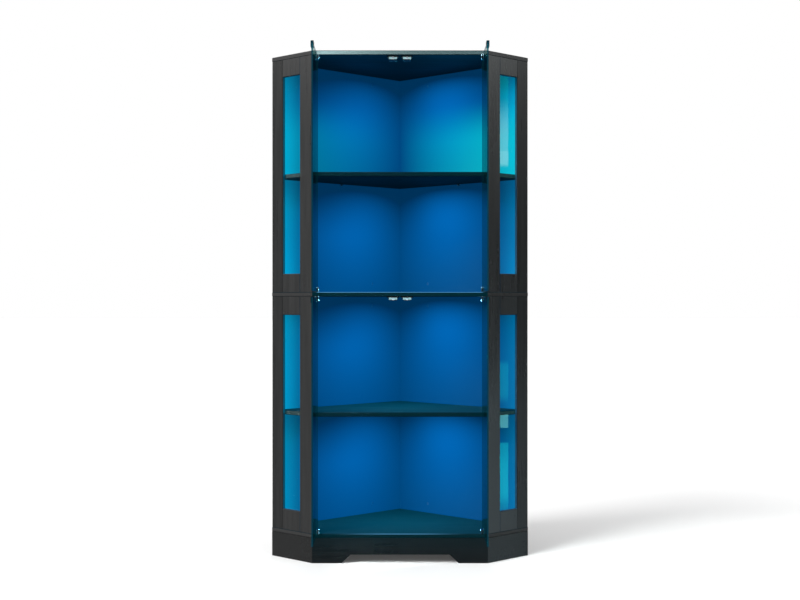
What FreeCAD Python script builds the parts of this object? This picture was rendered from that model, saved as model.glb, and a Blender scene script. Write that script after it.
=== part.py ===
import FreeCAD, Part
import math
import os
import Sketcher

# Corner display cabinet in two storeys, for a right-angled room corner.
#
# Plan: five sides. The front is open and takes two glass doors per storey; short framed sides run back
# from it at 45 degrees; two plain back panels meet square in the corner. Boards lie below, between and
# above the storeys, and each storey has one shelf.
# Frame: +X to the right, +Y back into the corner, +Z up; the origin is on the floor under the middle of
# the whole object, with its doors standing open at a right angle.

# Driving dimensions in millimetres: alias, size, what it measures.
DIMENSIONS = [
    ("cabinet_depth", 600, "front plane to the back corner"),
    ("cabinet_height", 1750, "floor to the top face"),
    ("opening_width", 600, "front edge of the boards"),
    ("board", 15, "thickness of boards, shelves, frames and plinth"),
    ("edge_ease", 1.5, "broken edge on boards and frames"),
    ("plinth_height", 85, "floor to the underside of the bottom board"),
    ("back_panel", 12, "thickness of the back panels"),
    ("side_run", 150, "how far a framed side runs back, and also out"),
    ("front_stile", 64, "width of the front upright of a side frame"),
    ("rear_stile", 58, "width of the rear upright of a side frame"),
    ("top_rail", 60, "height of the rail under the top board"),
    ("middle_rail", 64, "height of the rails next to the middle board"),
    ("bottom_rail", 70, "height of the rail over the bottom board"),
    ("rebate_depth", 5, "depth of the glass rebate, from the inner face"),
    ("rebate_width", 8, "how far the glass laps behind the frame"),
    ("glazing_gap", 1, "play round a fixed pane"),
    ("shelf_recess", 24, "front plane to the front of a shelf"),
    ("shelf_play", 1, "play between a shelf and the walls"),
    ("cutout_floor", 400, "width of the plinth cut-out at the floor"),
    ("cutout_top", 338, "width of the plinth cut-out at its top"),
    ("cutout_height", 29, "height of the plinth cut-out"),
    ("pivot_inset", 17, "front corner of a board to a door pivot, sideways"),
    ("pivot_setback", 7, "front plane to a door pivot"),
    ("leaf_overrun", 4.5, "door glass past its pivot"),
    ("leaf_glass", 5, "thickness of the door glass"),
    ("leaf_gap", 3, "gap over, under and between the doors"),
    ("clamp_cheek", 4, "metal each side of the door glass"),
    ("clamp_length", 24, "pivot to the inner end of a clamp"),
    ("clamp_drop", 14, "how far a clamp laps down the glass"),
    ("clamp_web", 1.8, "metal across the edge of the glass"),
    ("pin_radius", 3, "pivot pin"),
    ("pin_clearance", 0.06, "radial play of a pin in its bush"),
    ("pin_reach", 6, "pivot pin into a board"),
    ("bush_radius", 5, "outside of a pivot bush"),
    ("bush_depth", 6.5, "pivot bush into a board"),
    ("bush_flange", 0.7, "collar of a pivot bush"),
    ("bush_flange_radius", 6.5, "collar of a pivot bush"),
    ("striker_length", 36, "striker clip along the door"),
    ("striker_drop", 18, "striker clip down the glass"),
    ("striker_cheek", 2.5, "metal each side of the glass"),
    ("striker_web", 1.8, "metal over the top edge of the glass"),
    ("latch_centre", 24, "middle of the cabinet to the middle of a latch"),
    ("latch_setback", 22, "front plane to the front of a latch"),
    ("latch_flange_width", 42, "screwed flange of a latch"),
    ("latch_flange", 3, "thickness of the flange"),
    ("latch_flange_depth", 26, "flange, front to back"),
    ("latch_width", 28, "housing of a latch"),
    ("latch_drop", 10, "housing below the flange"),
    ("latch_depth", 48, "housing, front to back"),
    ("latch_end_wall", 5, "housing behind the plunger's bore"),
    ("plunger_radius", 2.8, "stem of a latch plunger"),
    ("plunger_play", 0.4, "radial play of the stem in the housing"),
    ("plunger_head", 4.2, "radius of the plunger's tip"),
    ("plunger_head_length", 3, "length of the tip"),
    ("plunger_stem", 30, "length of the stem"),
    ("touch_gap", 0.3, "plunger tip behind a closed door's striker"),
    ("screw_radius", 1.7, "shank of a small screw"),
    ("screw_head_radius", 3.4, "head of a small screw"),
    ("screw_head", 1.8, "height of the head"),
    ("screw_bite", 10, "screw into a board"),
    ("pane_clip_length", 19, "turn clip across the edge of a fixed pane"),
    ("pane_clip_width", 12, "turn clip"),
    ("pane_clip_thickness", 2.5, "turn clip"),
    ("pane_clip_inset", 90, "end of a pane to a clip"),
    ("shelf_pin_radius", 2.5, "shelf pin"),
    ("shelf_pin_socket", 8, "shelf pin into a wall"),
    ("shelf_pin_reach", 9, "shelf pin out of a wall"),
    ("cam_radius", 6, "cam disc"),
    ("cam_depth", 9.5, "cam disc into a panel"),
    ("cam_inset", 34, "end of a panel to the centre of a cam"),
    ("cam_bolt_radius", 3, "bolt from a board to a cam"),
    ("cam_bolt_bite", 7, "bolt into a board"),
    ("light_setback", 4, "front edge of a side frame to a light strip"),
    ("light_width", 10, "light strip"),
    ("light_thickness", 2.5, "light strip in its channel"),
    ("light_margin", 12, "end of a storey to the end of a light strip"),
    ("control_length", 70, "light control box"),
    ("control_width", 30, "light control box"),
    ("control_height", 18, "light control box"),
    ("socket_radius", 2.8, "low-voltage socket in the control box"),
    ("socket_depth", 9, "low-voltage socket"),
]
SIDES = {"left": -1, "right": 1}
FRAME_TURN = 45  # degrees between the front plane and a framed side

doc = FreeCAD.newDocument("corner_cabinet")
sheet = doc.addObject("Spreadsheet::Sheet", "Sizes")
cuts = []
nodes = []


class Size:
    """A length kept twice: as a number, and as the sheet formula that gives it."""

    def __init__(self, number, formula):
        self.number = float(number)
        self.formula = formula

    def __add__(self, other):
        other = as_size(other)
        return Size(self.number + other.number, f"({self.formula} + {other.formula})")

    def __sub__(self, other):
        other = as_size(other)
        return Size(self.number - other.number, f"({self.formula} - {other.formula})")

    def __mul__(self, other):
        other = as_size(other)
        return Size(self.number * other.number, f"({self.formula} * {other.formula})")

    def __truediv__(self, other):
        other = as_size(other)
        return Size(self.number / other.number, f"({self.formula} / {other.formula})")

    def __neg__(self):
        return self * -1

    __radd__ = __add__
    __rmul__ = __mul__


def as_size(value):
    return value if isinstance(value, Size) else Size(value, str(value))


def fill_sheet():
    """Write the driving dimensions to the sheet and return them by name."""
    sizes = {}
    for row, (alias, value, note) in enumerate(DIMENSIONS, start=1):
        sheet.set(f"A{row}", str(value))
        sheet.setAlias(f"A{row}", alias)
        sheet.set(f"B{row}", note)
        sizes[alias] = Size(value, f"Sizes.{alias}")
    doc.recompute()
    return sizes


D = fill_sheet()
ROOT_2 = Size(math.sqrt(2), "sqrt(2)")
ZERO = as_size(0)

# Heights
STOREY = (D["cabinet_height"] - D["plinth_height"] - 3 * D["board"]) / 2
LOWER_FLOOR = D["plinth_height"] + D["board"]
UPPER_FLOOR = LOWER_FLOOR + STOREY + D["board"]
FLOORS = {"lower": LOWER_FLOOR, "upper": UPPER_FLOOR}
SHELF_TOP = STOREY / 2 + D["board"] / 2

# Plan, measured from the middle of the front plane
HALF_OPENING = D["opening_width"] / 2
PIVOT_X = HALF_OPENING - D["pivot_inset"]
LEAF_WIDTH = PIVOT_X + D["leaf_overrun"] - D["leaf_gap"] / 2
DOOR_REACH = LEAF_WIDTH - D["leaf_overrun"] - D["pivot_setback"]
CENTRE_Y = (D["cabinet_depth"] - DOOR_REACH) / 2

# Along a framed side (u) and inwards from its outer face (v)
SIDE_LENGTH = D["side_run"] * ROOT_2
WALL_LENGTH = (D["cabinet_depth"] - D["side_run"]) * ROOT_2
WINDOW_START = D["front_stile"]
WINDOW_END = SIDE_LENGTH - D["rear_stile"]
PANEL_FACE = SIDE_LENGTH - D["back_panel"]
FRAME_MIDDLE = D["board"] / 2
REBATE_SEAT = D["board"] - D["rebate_depth"]
STILE_LINES = (D["front_stile"] / 2, SIDE_LENGTH - D["rear_stile"] / 2)
PANEL_CAM_LINES = (WALL_LENGTH / 4, WALL_LENGTH * 3 / 4)
PANEL_PIN_LINE = WALL_LENGTH / 2


def bind(obj, path, size):
    """Tie one property to the sheet, or set it where it is a plain number."""
    size = as_size(size)
    if "Sizes." in size.formula:
        obj.setExpression(path, size.formula)
    else:
        obj.setExpression(path, f"0 + {size.formula}")


def keep(obj, label, x=ZERO, y=ZERO, z=ZERO, turn=0):
    """Give a finished sub-part its name and its place in the cabinet."""
    obj.Label = label
    obj.Placement.Rotation = FreeCAD.Rotation(FreeCAD.Vector(0, 0, 1), turn)
    bind(obj, "Placement.Base.x", x)
    bind(obj, "Placement.Base.y", y - CENTRE_Y)
    bind(obj, "Placement.Base.z", z)
    nodes.append(obj)
    return obj


def keep_on_side(obj, label, side, z=ZERO):
    """Place a sub-part drawn along (u) and inwards from (v) a framed side."""
    return keep(obj, label, side * HALF_OPENING, ZERO, z, side * FRAME_TURN)


def plan_point(side, u, v):
    """Turn a point of a framed side into one of the cabinet's plan."""
    return side * (HALF_OPENING + (u - v) / ROOT_2), (u + v) / ROOT_2


# Sketched bodies

def new_body(name):
    return doc.addObject("PartDesign::Body", name)


def sketch_on(body, role, offset=ZERO):
    """Attach a sketch to an origin plane of its body, some way along the plane's normal."""
    sketch = body.newObject("Sketcher::SketchObject", f"{body.Name}_sketch")
    plane = next(item for item in body.Origin.OriginFeatures if item.Role == role)
    sketch.AttachmentSupport = [(plane, "")]
    sketch.MapMode = "FlatFace"
    bind(sketch, "AttachmentOffset.Base.z", offset)
    return sketch


def fix_point(sketch, edge, end, point):
    """Hold one end (or centre, end 3) of a sketch edge at its distances from the sketch origin."""
    for kind, size in zip(("DistanceX", "DistanceY"), point):
        size = as_size(size)
        index = sketch.addConstraint(Sketcher.Constraint(kind, -1, 1, edge, end, size.number))
        bind(sketch, f"Constraints[{index}]", size)


def add_outline(sketch, points):
    """Draw a closed outline with straight edges through the points."""
    corners = [FreeCAD.Vector(as_size(a).number, as_size(b).number, 0) for a, b in points]
    first = len(sketch.Geometry)
    count = len(corners)
    for i in range(count):
        sketch.addGeometry(Part.LineSegment(corners[i], corners[(i + 1) % count]), False)
    for i in range(count):
        sketch.addConstraint(Sketcher.Constraint("Coincident", first + i, 2, first + (i + 1) % count, 1))
    for i in range(count):
        fix_point(sketch, first + i, 1, points[i])


def add_circle(sketch, centre, radius):
    middle = FreeCAD.Vector(as_size(centre[0]).number, as_size(centre[1]).number, 0)
    edge = sketch.addGeometry(Part.Circle(middle, FreeCAD.Vector(0, 0, 1), radius.number), False)
    fix_point(sketch, edge, 3, centre)
    index = sketch.addConstraint(Sketcher.Constraint("Radius", edge, radius.number))
    bind(sketch, f"Constraints[{index}]", radius)


def pad(body, sketch, length, reverse=False):
    feature = body.newObject("PartDesign::Pad", f"{body.Name}_pad")
    feature.Profile = sketch
    bind(feature, "Length", length)
    feature.Reversed = reverse
    return feature


def pocket(body, sketch, depth, reverse=False):
    """Cut against the sketch's normal, or along it when reversed."""
    feature = body.newObject("PartDesign::Pocket", f"{body.Name}_pocket")
    feature.Profile = sketch
    bind(feature, "Length", depth)
    feature.Reversed = reverse
    cuts.append(feature)
    return feature


def drill(body, role, offset, centres, radius, depth, reverse=False):
    sketch = sketch_on(body, role, offset)
    for centre in centres:
        add_circle(sketch, centre, radius)
    return pocket(body, sketch, depth, reverse)


def ease_flat_edges(body, feature):
    """Break the edges round both faces of a board."""
    doc.recompute()
    box = feature.Shape.BoundBox
    picked = []
    for number, edge in enumerate(feature.Shape.Edges, start=1):
        heights = [vertex.Z for vertex in edge.Vertexes]
        level = max(heights) - min(heights) < 1e-6
        if level and (abs(heights[0] - box.ZMin) < 1e-6 or abs(heights[0] - box.ZMax) < 1e-6):
            picked.append(f"Edge{number}")
    chamfer = body.newObject("PartDesign::Chamfer", f"{body.Name}_ease")
    chamfer.Base = (feature, picked)
    bind(chamfer, "Size", D["edge_ease"])
    return chamfer


# Primitives, for the small hardware

def block(name, low, high):
    """A box between two corners."""
    shape = doc.addObject("Part::Box", name)
    for axis, length, a, b in zip("xyz", ("Length", "Width", "Height"), low, high):
        bind(shape, f"Placement.Base.{axis}", a)
        bind(shape, length, as_size(b) - a)
    return shape


def rod(name, start, radius, length, axis=(0, 0, 1)):
    """A round bar from a point along an axis."""
    shape = doc.addObject("Part::Cylinder", name)
    shape.Placement.Rotation = FreeCAD.Rotation(FreeCAD.Vector(0, 0, 1), FreeCAD.Vector(*axis))
    for letter, value in zip("xyz", start):
        bind(shape, f"Placement.Base.{letter}", value)
    bind(shape, "Radius", radius)
    bind(shape, "Height", length)
    return shape


def join(name, shapes):
    fused = doc.addObject("Part::MultiFuse", name)
    fused.Shapes = shapes
    return fused


def cut_from(name, base, tool):
    cut = doc.addObject("Part::Cut", name)
    cut.Base = base
    cut.Tool = tool
    return cut


def group(name, shapes):
    """Loose solids that share one sub-part."""
    compound = doc.addObject("Part::Compound", name)
    compound.Links = shapes
    return compound


# Boards and shelves

def cam_points():
    """Where cam bolts pass between a board and the walls, in plan."""
    points = []
    for side in SIDES.values():
        points += [plan_point(side, u, FRAME_MIDDLE) for u in STILE_LINES]
        middle = SIDE_LENGTH - D["back_panel"] / 2
        points += [plan_point(side, middle, v) for v in PANEL_CAM_LINES]
    return points


def latch_screw_points():
    reach = (D["latch_flange_width"] + D["latch_width"]) / 4
    y = D["latch_setback"] + D["latch_flange_depth"] / 2
    return [(side * D["latch_centre"] + end * reach, y) for side in SIDES.values() for end in (-1, 1)]


def add_board(name, underside, faces, latches):
    """A five-sided board, bored in the named faces for bolts and pivot bushes."""
    body = new_body(name)
    sketch = sketch_on(body, "XY_Plane")
    side_x = HALF_OPENING + D["side_run"]
    add_outline(sketch, [
        (-HALF_OPENING, ZERO),
        (HALF_OPENING, ZERO),
        (side_x, D["side_run"]),
        (ZERO, D["cabinet_depth"]),
        (-side_x, D["side_run"]),
    ])
    ease_flat_edges(body, pad(body, sketch, D["board"]))
    pivots = [(side * PIVOT_X, D["pivot_setback"]) for side in SIDES.values()]
    for face in faces:
        level = D["board"] if face == "top" else ZERO
        upwards = face == "underside"
        drill(body, "XY_Plane", level, cam_points(), D["cam_bolt_radius"], D["cam_bolt_bite"], upwards)
        drill(body, "XY_Plane", level, pivots, D["bush_radius"], D["bush_depth"], upwards)
    if latches:
        drill(body, "XY_Plane", ZERO, latch_screw_points(), D["screw_radius"], D["screw_bite"], True)
    keep(body, name, z=underside)


def add_shelf(storey):
    body = new_body(f"{storey}_shelf")
    front = D["shelf_recess"]
    side_line = HALF_OPENING - (D["board"] + D["shelf_play"]) * ROOT_2
    wall_line = D["cabinet_depth"] - (D["back_panel"] + D["shelf_play"]) * ROOT_2
    front_x = side_line + front
    side_x = (side_line + wall_line) / 2
    side_y = (wall_line - side_line) / 2
    sketch = sketch_on(body, "XY_Plane")
    add_outline(sketch, [
        (-front_x, front),
        (front_x, front),
        (side_x, side_y),
        (ZERO, wall_line),
        (-side_x, side_y),
    ])
    ease_flat_edges(body, pad(body, sketch, D["board"]))
    keep(body, f"{storey}_shelf", z=FLOORS[storey] + SHELF_TOP - D["board"])


# Side frames: drawn along the frame (u), inwards from its outer face (v) and up from the storey's floor

def rails_of(storey):
    if storey == "upper":
        return D["middle_rail"], D["top_rail"]
    return D["bottom_rail"], D["middle_rail"]


def window_span(storey):
    bottom_rail, top_rail = rails_of(storey)
    return bottom_rail, STOREY - top_rail


def clip_heights(storey):
    low, high = window_span(storey)
    return low + D["pane_clip_inset"], high - D["pane_clip_inset"]


def clip_screw_lines():
    """How far along the frame the clip screws stand, in the front and the rear stile."""
    reach = D["rebate_width"] + D["pane_clip_width"] / 2
    return WINDOW_START - reach, WINDOW_END + reach


def add_stile(storey, side_name, place):
    """An upright: square outline with broken outer edges, glass rebate, pin, cam and screw holes."""
    side = SIDES[side_name]
    body = new_body(f"{storey}_{side_name}_{place}_stile")
    front = place == "front"
    start, end = (ZERO, WINDOW_START) if front else (WINDOW_END, SIDE_LENGTH)
    ease = D["edge_ease"]
    sketch = sketch_on(body, "XY_Plane")
    add_outline(sketch, [
        (side * start, ease),
        (side * (start + ease), ZERO),
        (side * (end - ease), ZERO),
        (side * end, ease),
        (side * end, D["board"]),
        (side * start, D["board"]),
    ])
    pad(body, sketch, STOREY)

    low, high = window_span(storey)
    lap = D["rebate_width"]
    near, far = (end - lap, end) if front else (start, start + lap)
    rebate = sketch_on(body, "XZ_Plane", -REBATE_SEAT)
    add_outline(rebate, [
        (side * near, low - lap),
        (side * far, low - lap),
        (side * far, high + lap),
        (side * near, high + lap),
    ])
    pocket(body, rebate, D["rebate_depth"])

    middle = side * STILE_LINES[0 if front else 1]
    inner = -D["board"]
    cams = [(middle, D["cam_inset"]), (middle, STOREY - D["cam_inset"])]
    drill(body, "XZ_Plane", inner, cams, D["cam_radius"], D["cam_depth"], True)
    bolt = [(middle, FRAME_MIDDLE)]
    drill(body, "XY_Plane", ZERO, bolt, D["cam_bolt_radius"], D["cam_inset"], True)
    drill(body, "XY_Plane", STOREY, bolt, D["cam_bolt_radius"], D["cam_inset"])
    pin = [(middle, SHELF_TOP - D["board"] - D["shelf_pin_radius"])]
    drill(body, "XZ_Plane", inner, pin, D["shelf_pin_radius"], D["shelf_pin_socket"], True)
    screw_line = side * clip_screw_lines()[0 if front else 1]
    screws = [(screw_line, height) for height in clip_heights(storey)]
    drill(body, "XZ_Plane", inner, screws, D["screw_radius"], D["screw_bite"], True)
    keep_on_side(body, body.Name, side, FLOORS[storey])


def add_rail(storey, side_name, place):
    """A cross piece between the stiles, rebated along the window."""
    side = SIDES[side_name]
    body = new_body(f"{storey}_{side_name}_{place}_rail")
    bottom_rail, top_rail = rails_of(storey)
    inner = D["board"]
    lap = D["rebate_width"]
    ease = D["edge_ease"]
    if place == "bottom":
        section = [
            (ZERO, ZERO),
            (inner, ZERO),
            (inner, bottom_rail - lap),
            (REBATE_SEAT, bottom_rail - lap),
            (REBATE_SEAT, bottom_rail),
            (ease, bottom_rail),
            (ZERO, bottom_rail - ease),
        ]
    else:
        edge = STOREY - top_rail
        section = [
            (ZERO, STOREY),
            (inner, STOREY),
            (inner, edge + lap),
            (REBATE_SEAT, edge + lap),
            (REBATE_SEAT, edge),
            (ease, edge),
            (ZERO, edge + ease),
        ]
    sketch = sketch_on(body, "YZ_Plane", side * WINDOW_START)
    add_outline(sketch, section)
    pad(body, sketch, WINDOW_END - WINDOW_START, side < 0)
    keep_on_side(body, body.Name, side, FLOORS[storey])


def add_pane(storey, side_name):
    side = SIDES[side_name]
    body = new_body(f"{storey}_{side_name}_side_glass")
    low, high = window_span(storey)
    lap = D["rebate_width"] - D["glazing_gap"]
    sketch = sketch_on(body, "XY_Plane", low - lap)
    near = WINDOW_START - lap
    far = WINDOW_END + lap
    add_outline(sketch, [
        (side * near, REBATE_SEAT),
        (side * far, REBATE_SEAT),
        (side * far, D["board"]),
        (side * near, D["board"]),
    ])
    pad(body, sketch, high - low + 2 * lap)
    keep_on_side(body, body.Name, side, FLOORS[storey])


def add_back_panel(storey, side_name):
    """A wall panel; the left one stops against the right one in the corner."""
    side = SIDES[side_name]
    body = new_body(f"{storey}_{side_name}_back_panel")
    end = WALL_LENGTH if side_name == "right" else WALL_LENGTH - D["back_panel"]
    sketch = sketch_on(body, "XY_Plane")
    add_outline(sketch, [
        (side * PANEL_FACE, D["board"]),
        (side * SIDE_LENGTH, D["board"]),
        (side * SIDE_LENGTH, end),
        (side * PANEL_FACE, end),
    ])
    pad(body, sketch, STOREY)
    outwards = side > 0
    inner = side * PANEL_FACE
    heights = (D["cam_inset"], STOREY - D["cam_inset"])
    cams = [(line, height) for line in PANEL_CAM_LINES for height in heights]
    drill(body, "YZ_Plane", inner, cams, D["cam_radius"], D["cam_depth"], outwards)
    bolts = [(side * (SIDE_LENGTH - D["back_panel"] / 2), line) for line in PANEL_CAM_LINES]
    drill(body, "XY_Plane", ZERO, bolts, D["cam_bolt_radius"], D["cam_inset"], True)
    drill(body, "XY_Plane", STOREY, bolts, D["cam_bolt_radius"], D["cam_inset"])
    pin = [(PANEL_PIN_LINE, SHELF_TOP - D["board"] - D["shelf_pin_radius"])]
    drill(body, "YZ_Plane", inner, pin, D["shelf_pin_radius"], D["shelf_pin_socket"], outwards)
    keep_on_side(body, body.Name, side, FLOORS[storey])


# Plinth

def add_front_plinth():
    """Front board, mitred to the side boards, with a shallow cut-out that leaves two feet."""
    body = new_body("front_plinth")
    half_turn = math.radians(FRAME_TURN / 2)
    mitre = D["board"] * Size(math.tan(half_turn), f"tan({FRAME_TURN / 2} * 1 deg)")
    sketch = sketch_on(body, "XY_Plane")
    add_outline(sketch, [
        (-HALF_OPENING, ZERO),
        (HALF_OPENING, ZERO),
        (HALF_OPENING - mitre, D["board"]),
        (mitre - HALF_OPENING, D["board"]),
    ])
    pad(body, sketch, D["plinth_height"])
    notch = sketch_on(body, "XZ_Plane", -D["board"])
    add_outline(notch, [
        (-D["cutout_floor"] / 2, ZERO),
        (-D["cutout_top"] / 2, D["cutout_height"]),
        (D["cutout_top"] / 2, D["cutout_height"]),
        (D["cutout_floor"] / 2, ZERO),
    ])
    pocket(body, notch, D["board"], True)
    keep(body, "front_plinth")
    return mitre


def add_side_plinths(mitre):
    for side_name, side in SIDES.items():
        body = new_body(f"{side_name}_side_plinth")
        sketch = sketch_on(body, "XY_Plane")
        add_outline(sketch, [
            (ZERO, ZERO),
            (side * SIDE_LENGTH, ZERO),
            (side * SIDE_LENGTH, D["board"]),
            (side * mitre, D["board"]),
        ])
        pad(body, sketch, D["plinth_height"])
        keep_on_side(body, body.Name, side)

        body = new_body(f"{side_name}_rear_plinth")
        end = WALL_LENGTH if side_name == "right" else WALL_LENGTH - D["board"]
        sketch = sketch_on(body, "XY_Plane")
        add_outline(sketch, [
            (side * (SIDE_LENGTH - D["board"]), D["board"]),
            (side * SIDE_LENGTH, D["board"]),
            (side * SIDE_LENGTH, end),
            (side * (SIDE_LENGTH - D["board"]), end),
        ])
        pad(body, sketch, D["plinth_height"])
        keep_on_side(body, body.Name, side)


# Doors: drawn from the pivot, with the leaf pointing forwards and heights up from the storey's floor

def keep_on_door(obj, label, side, storey):
    return keep(obj, label, side * PIVOT_X, D["pivot_setback"], FLOORS[storey])


LEAF_BOTTOM = D["leaf_gap"]
LEAF_TOP = STOREY - D["leaf_gap"]
LEAF_FREE_EDGE = D["leaf_overrun"] - LEAF_WIDTH
HALF_GLASS = D["leaf_glass"] / 2


def add_leaf(storey, side_name):
    body = new_body(f"{storey}_{side_name}_door_glass")
    sketch = sketch_on(body, "XY_Plane", LEAF_BOTTOM)
    add_outline(sketch, [
        (-HALF_GLASS, LEAF_FREE_EDGE),
        (HALF_GLASS, LEAF_FREE_EDGE),
        (HALF_GLASS, D["leaf_overrun"]),
        (-HALF_GLASS, D["leaf_overrun"]),
    ])
    pad(body, sketch, LEAF_TOP - LEAF_BOTTOM)
    keep_on_door(body, body.Name, SIDES[side_name], storey)


def glass_slot(name, low, high):
    """The space that the door glass takes up in a fitting."""
    return block(name, (-HALF_GLASS, low[0], low[1]), (HALF_GLASS, high[0], high[1]))


def add_hinges(storey, side_name):
    """Two corner clamps, each rounded about the pivot and with its pin."""
    base = f"{storey}_{side_name}_door_hinges"
    half = HALF_GLASS + D["clamp_cheek"]
    shapes = []
    for place, edge, up in (("top", LEAF_TOP, 1), ("bottom", LEAF_BOTTOM, -1)):
        inner = edge - up * D["clamp_drop"]
        outer = edge + up * D["clamp_web"]
        low, high = (inner, outer) if up > 0 else (outer, inner)
        name = f"{base}_{place}"
        nose = rod(f"{name}_nose", (ZERO, ZERO, low), half, high - low)
        bar = block(f"{name}_bar", (-half, -D["clamp_length"], low), (half, ZERO, high))
        pin_length = D["pin_reach"] + D["leaf_gap"] - D["clamp_web"]
        pin_start = high if up > 0 else low - pin_length
        pin = rod(f"{name}_pin", (ZERO, ZERO, pin_start), D["pin_radius"], pin_length)
        solid = join(f"{name}_solid", [nose, bar, pin])
        slot_low, slot_high = (inner, edge) if up > 0 else (edge, inner)
        slot = glass_slot(f"{name}_slot", (-D["clamp_length"], slot_low), (D["leaf_overrun"], slot_high))
        shapes.append(cut_from(name, solid, slot))
    keep_on_door(group(base, shapes), base, SIDES[side_name], storey)


def add_striker(storey, side_name):
    """A clip over the free top corner of the glass, for the latch to push and hold."""
    name = f"{storey}_{side_name}_door_striker"
    half = HALF_GLASS + D["striker_cheek"]
    end = LEAF_FREE_EDGE + D["striker_length"]
    bottom = LEAF_TOP - D["striker_drop"]
    body = block(f"{name}_body", (-half, LEAF_FREE_EDGE, bottom), (half, end, LEAF_TOP + D["striker_web"]))
    slot = glass_slot(f"{name}_slot", (LEAF_FREE_EDGE, bottom), (end, LEAF_TOP))
    keep_on_door(cut_from(name, body, slot), name, SIDES[side_name], storey)


def add_bushes():
    """Pivot bushes in the boards above and below each door."""
    shapes = []
    for storey, floor in FLOORS.items():
        for side_name, side in SIDES.items():
            for place, face, up in (("bottom", floor, -1), ("top", floor + STOREY, 1)):
                name = f"bush_{storey}_{side_name}_{place}"
                centre = (side * PIVOT_X, D["pivot_setback"])
                tube_low = face if up > 0 else face - D["bush_depth"]
                collar_low = face - D["bush_flange"] if up > 0 else face
                low = face - D["bush_flange"] if up > 0 else tube_low
                tube = rod(f"{name}_tube", (*centre, tube_low), D["bush_radius"], D["bush_depth"])
                collar = rod(f"{name}_collar", (*centre, collar_low), D["bush_flange_radius"], D["bush_flange"])
                bore_length = D["bush_depth"] + D["bush_flange"]
                bore = rod(f"{name}_bore", (*centre, low), D["pin_radius"] + D["pin_clearance"], bore_length)
                shapes.append(cut_from(name, join(f"{name}_solid", [tube, collar]), bore))
    keep(group("hinge_bushes", shapes), "hinge_bushes")


# Touch latches: drawn from the front plane, with heights down from the board above

STRIKER_BACK = D["pivot_setback"] + HALF_GLASS + D["striker_cheek"]
PLUNGER_TIP = STRIKER_BACK + D["touch_gap"]
PLUNGER_DROP = D["latch_flange"] + D["latch_drop"] / 2


def latch_fittings(storey):
    """Screwed housings side by side, each bored for its plunger, and their screws."""
    housings = []
    screws = []
    front = D["latch_setback"]
    for side_name, side in SIDES.items():
        name = f"{storey}_{side_name}_latch"
        x = side * D["latch_centre"]
        half_flange = D["latch_flange_width"] / 2
        half_body = D["latch_width"] / 2
        flange_low = -D["latch_flange"]
        low = flange_low - D["latch_drop"]
        flange_back = front + D["latch_flange_depth"]
        flange = block(f"{name}_flange", (x - half_flange, front, flange_low), (x + half_flange, flange_back, ZERO))
        back = front + D["latch_depth"]
        body = block(f"{name}_body", (x - half_body, front, low), (x + half_body, back, flange_low))
        bore_start = (x, front, -PLUNGER_DROP)
        bore_radius = D["plunger_radius"] + D["plunger_play"]
        bore = rod(f"{name}_bore", bore_start, bore_radius, D["latch_depth"] - D["latch_end_wall"], (0, 1, 0))
        shell = cut_from(f"{name}_shell", join(f"{name}_solid", [flange, body]), bore)
        screw_y = front + D["latch_flange_depth"] / 2
        reach = (D["latch_flange_width"] + D["latch_width"]) / 4
        holes = []
        for end in (-1, 1):
            spot = (x + end * reach, screw_y)
            mark = "inner" if end == -side else "outer"
            hole_start = (*spot, flange_low)
            holes.append(rod(f"{name}_{mark}_hole", hole_start, D["screw_radius"], D["latch_flange"]))
            head_start = (*spot, flange_low - D["screw_head"])
            head = rod(f"{name}_{mark}_head", head_start, D["screw_head_radius"], D["screw_head"])
            shank_length = D["latch_flange"] + D["screw_bite"]
            shank = rod(f"{name}_{mark}_shank", hole_start, D["screw_radius"], shank_length)
            screws.append(join(f"{name}_{mark}_screw", [head, shank]))
        housings.append(cut_from(name, shell, group(f"{name}_holes", holes)))
    fittings = group(f"{storey}_latches", housings), group(f"{storey}_latch_screws", screws)
    for fitting in fittings:
        bind(fitting, "Placement.Base.z", FLOORS[storey] + STOREY)
    return fittings


def add_plunger(storey, side_name):
    name = f"{storey}_{side_name}_latch_plunger"
    x = SIDES[side_name] * D["latch_centre"]
    tip = rod(f"{name}_tip", (x, PLUNGER_TIP, -PLUNGER_DROP), D["plunger_head"], D["plunger_head_length"], (0, 1, 0))
    stem_start = (x, PLUNGER_TIP + D["plunger_head_length"], -PLUNGER_DROP)
    stem = rod(f"{name}_stem", stem_start, D["plunger_radius"], D["plunger_stem"], (0, 1, 0))
    keep(join(name, [tip, stem]), name, z=FLOORS[storey] + STOREY)


# Small hardware on the walls

def on_side(name, shapes, side):
    """Turn a group drawn along a framed side to its place in plan."""
    turned = group(name, shapes)
    turned.Placement.Rotation = FreeCAD.Rotation(FreeCAD.Vector(0, 0, 1), side * FRAME_TURN)
    bind(turned, "Placement.Base.x", side * HALF_OPENING)
    return turned


def add_light_strips():
    """One light strip up the inner face of each front stile, behind the door."""
    strips = []
    for storey, floor in FLOORS.items():
        for side_name, side in SIDES.items():
            name = f"light_{storey}_{side_name}"
            near = D["light_setback"]
            far = near + D["light_width"]
            x_low, x_high = (near, far) if side > 0 else (-far, -near)
            low = (x_low, D["board"], floor + D["light_margin"])
            high = (x_high, D["board"] + D["light_thickness"], floor + STOREY - D["light_margin"])
            strips.append(on_side(name, [block(f"{name}_bar", low, high)], side))
    keep(group("light_strips", strips), "light_strips")


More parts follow.
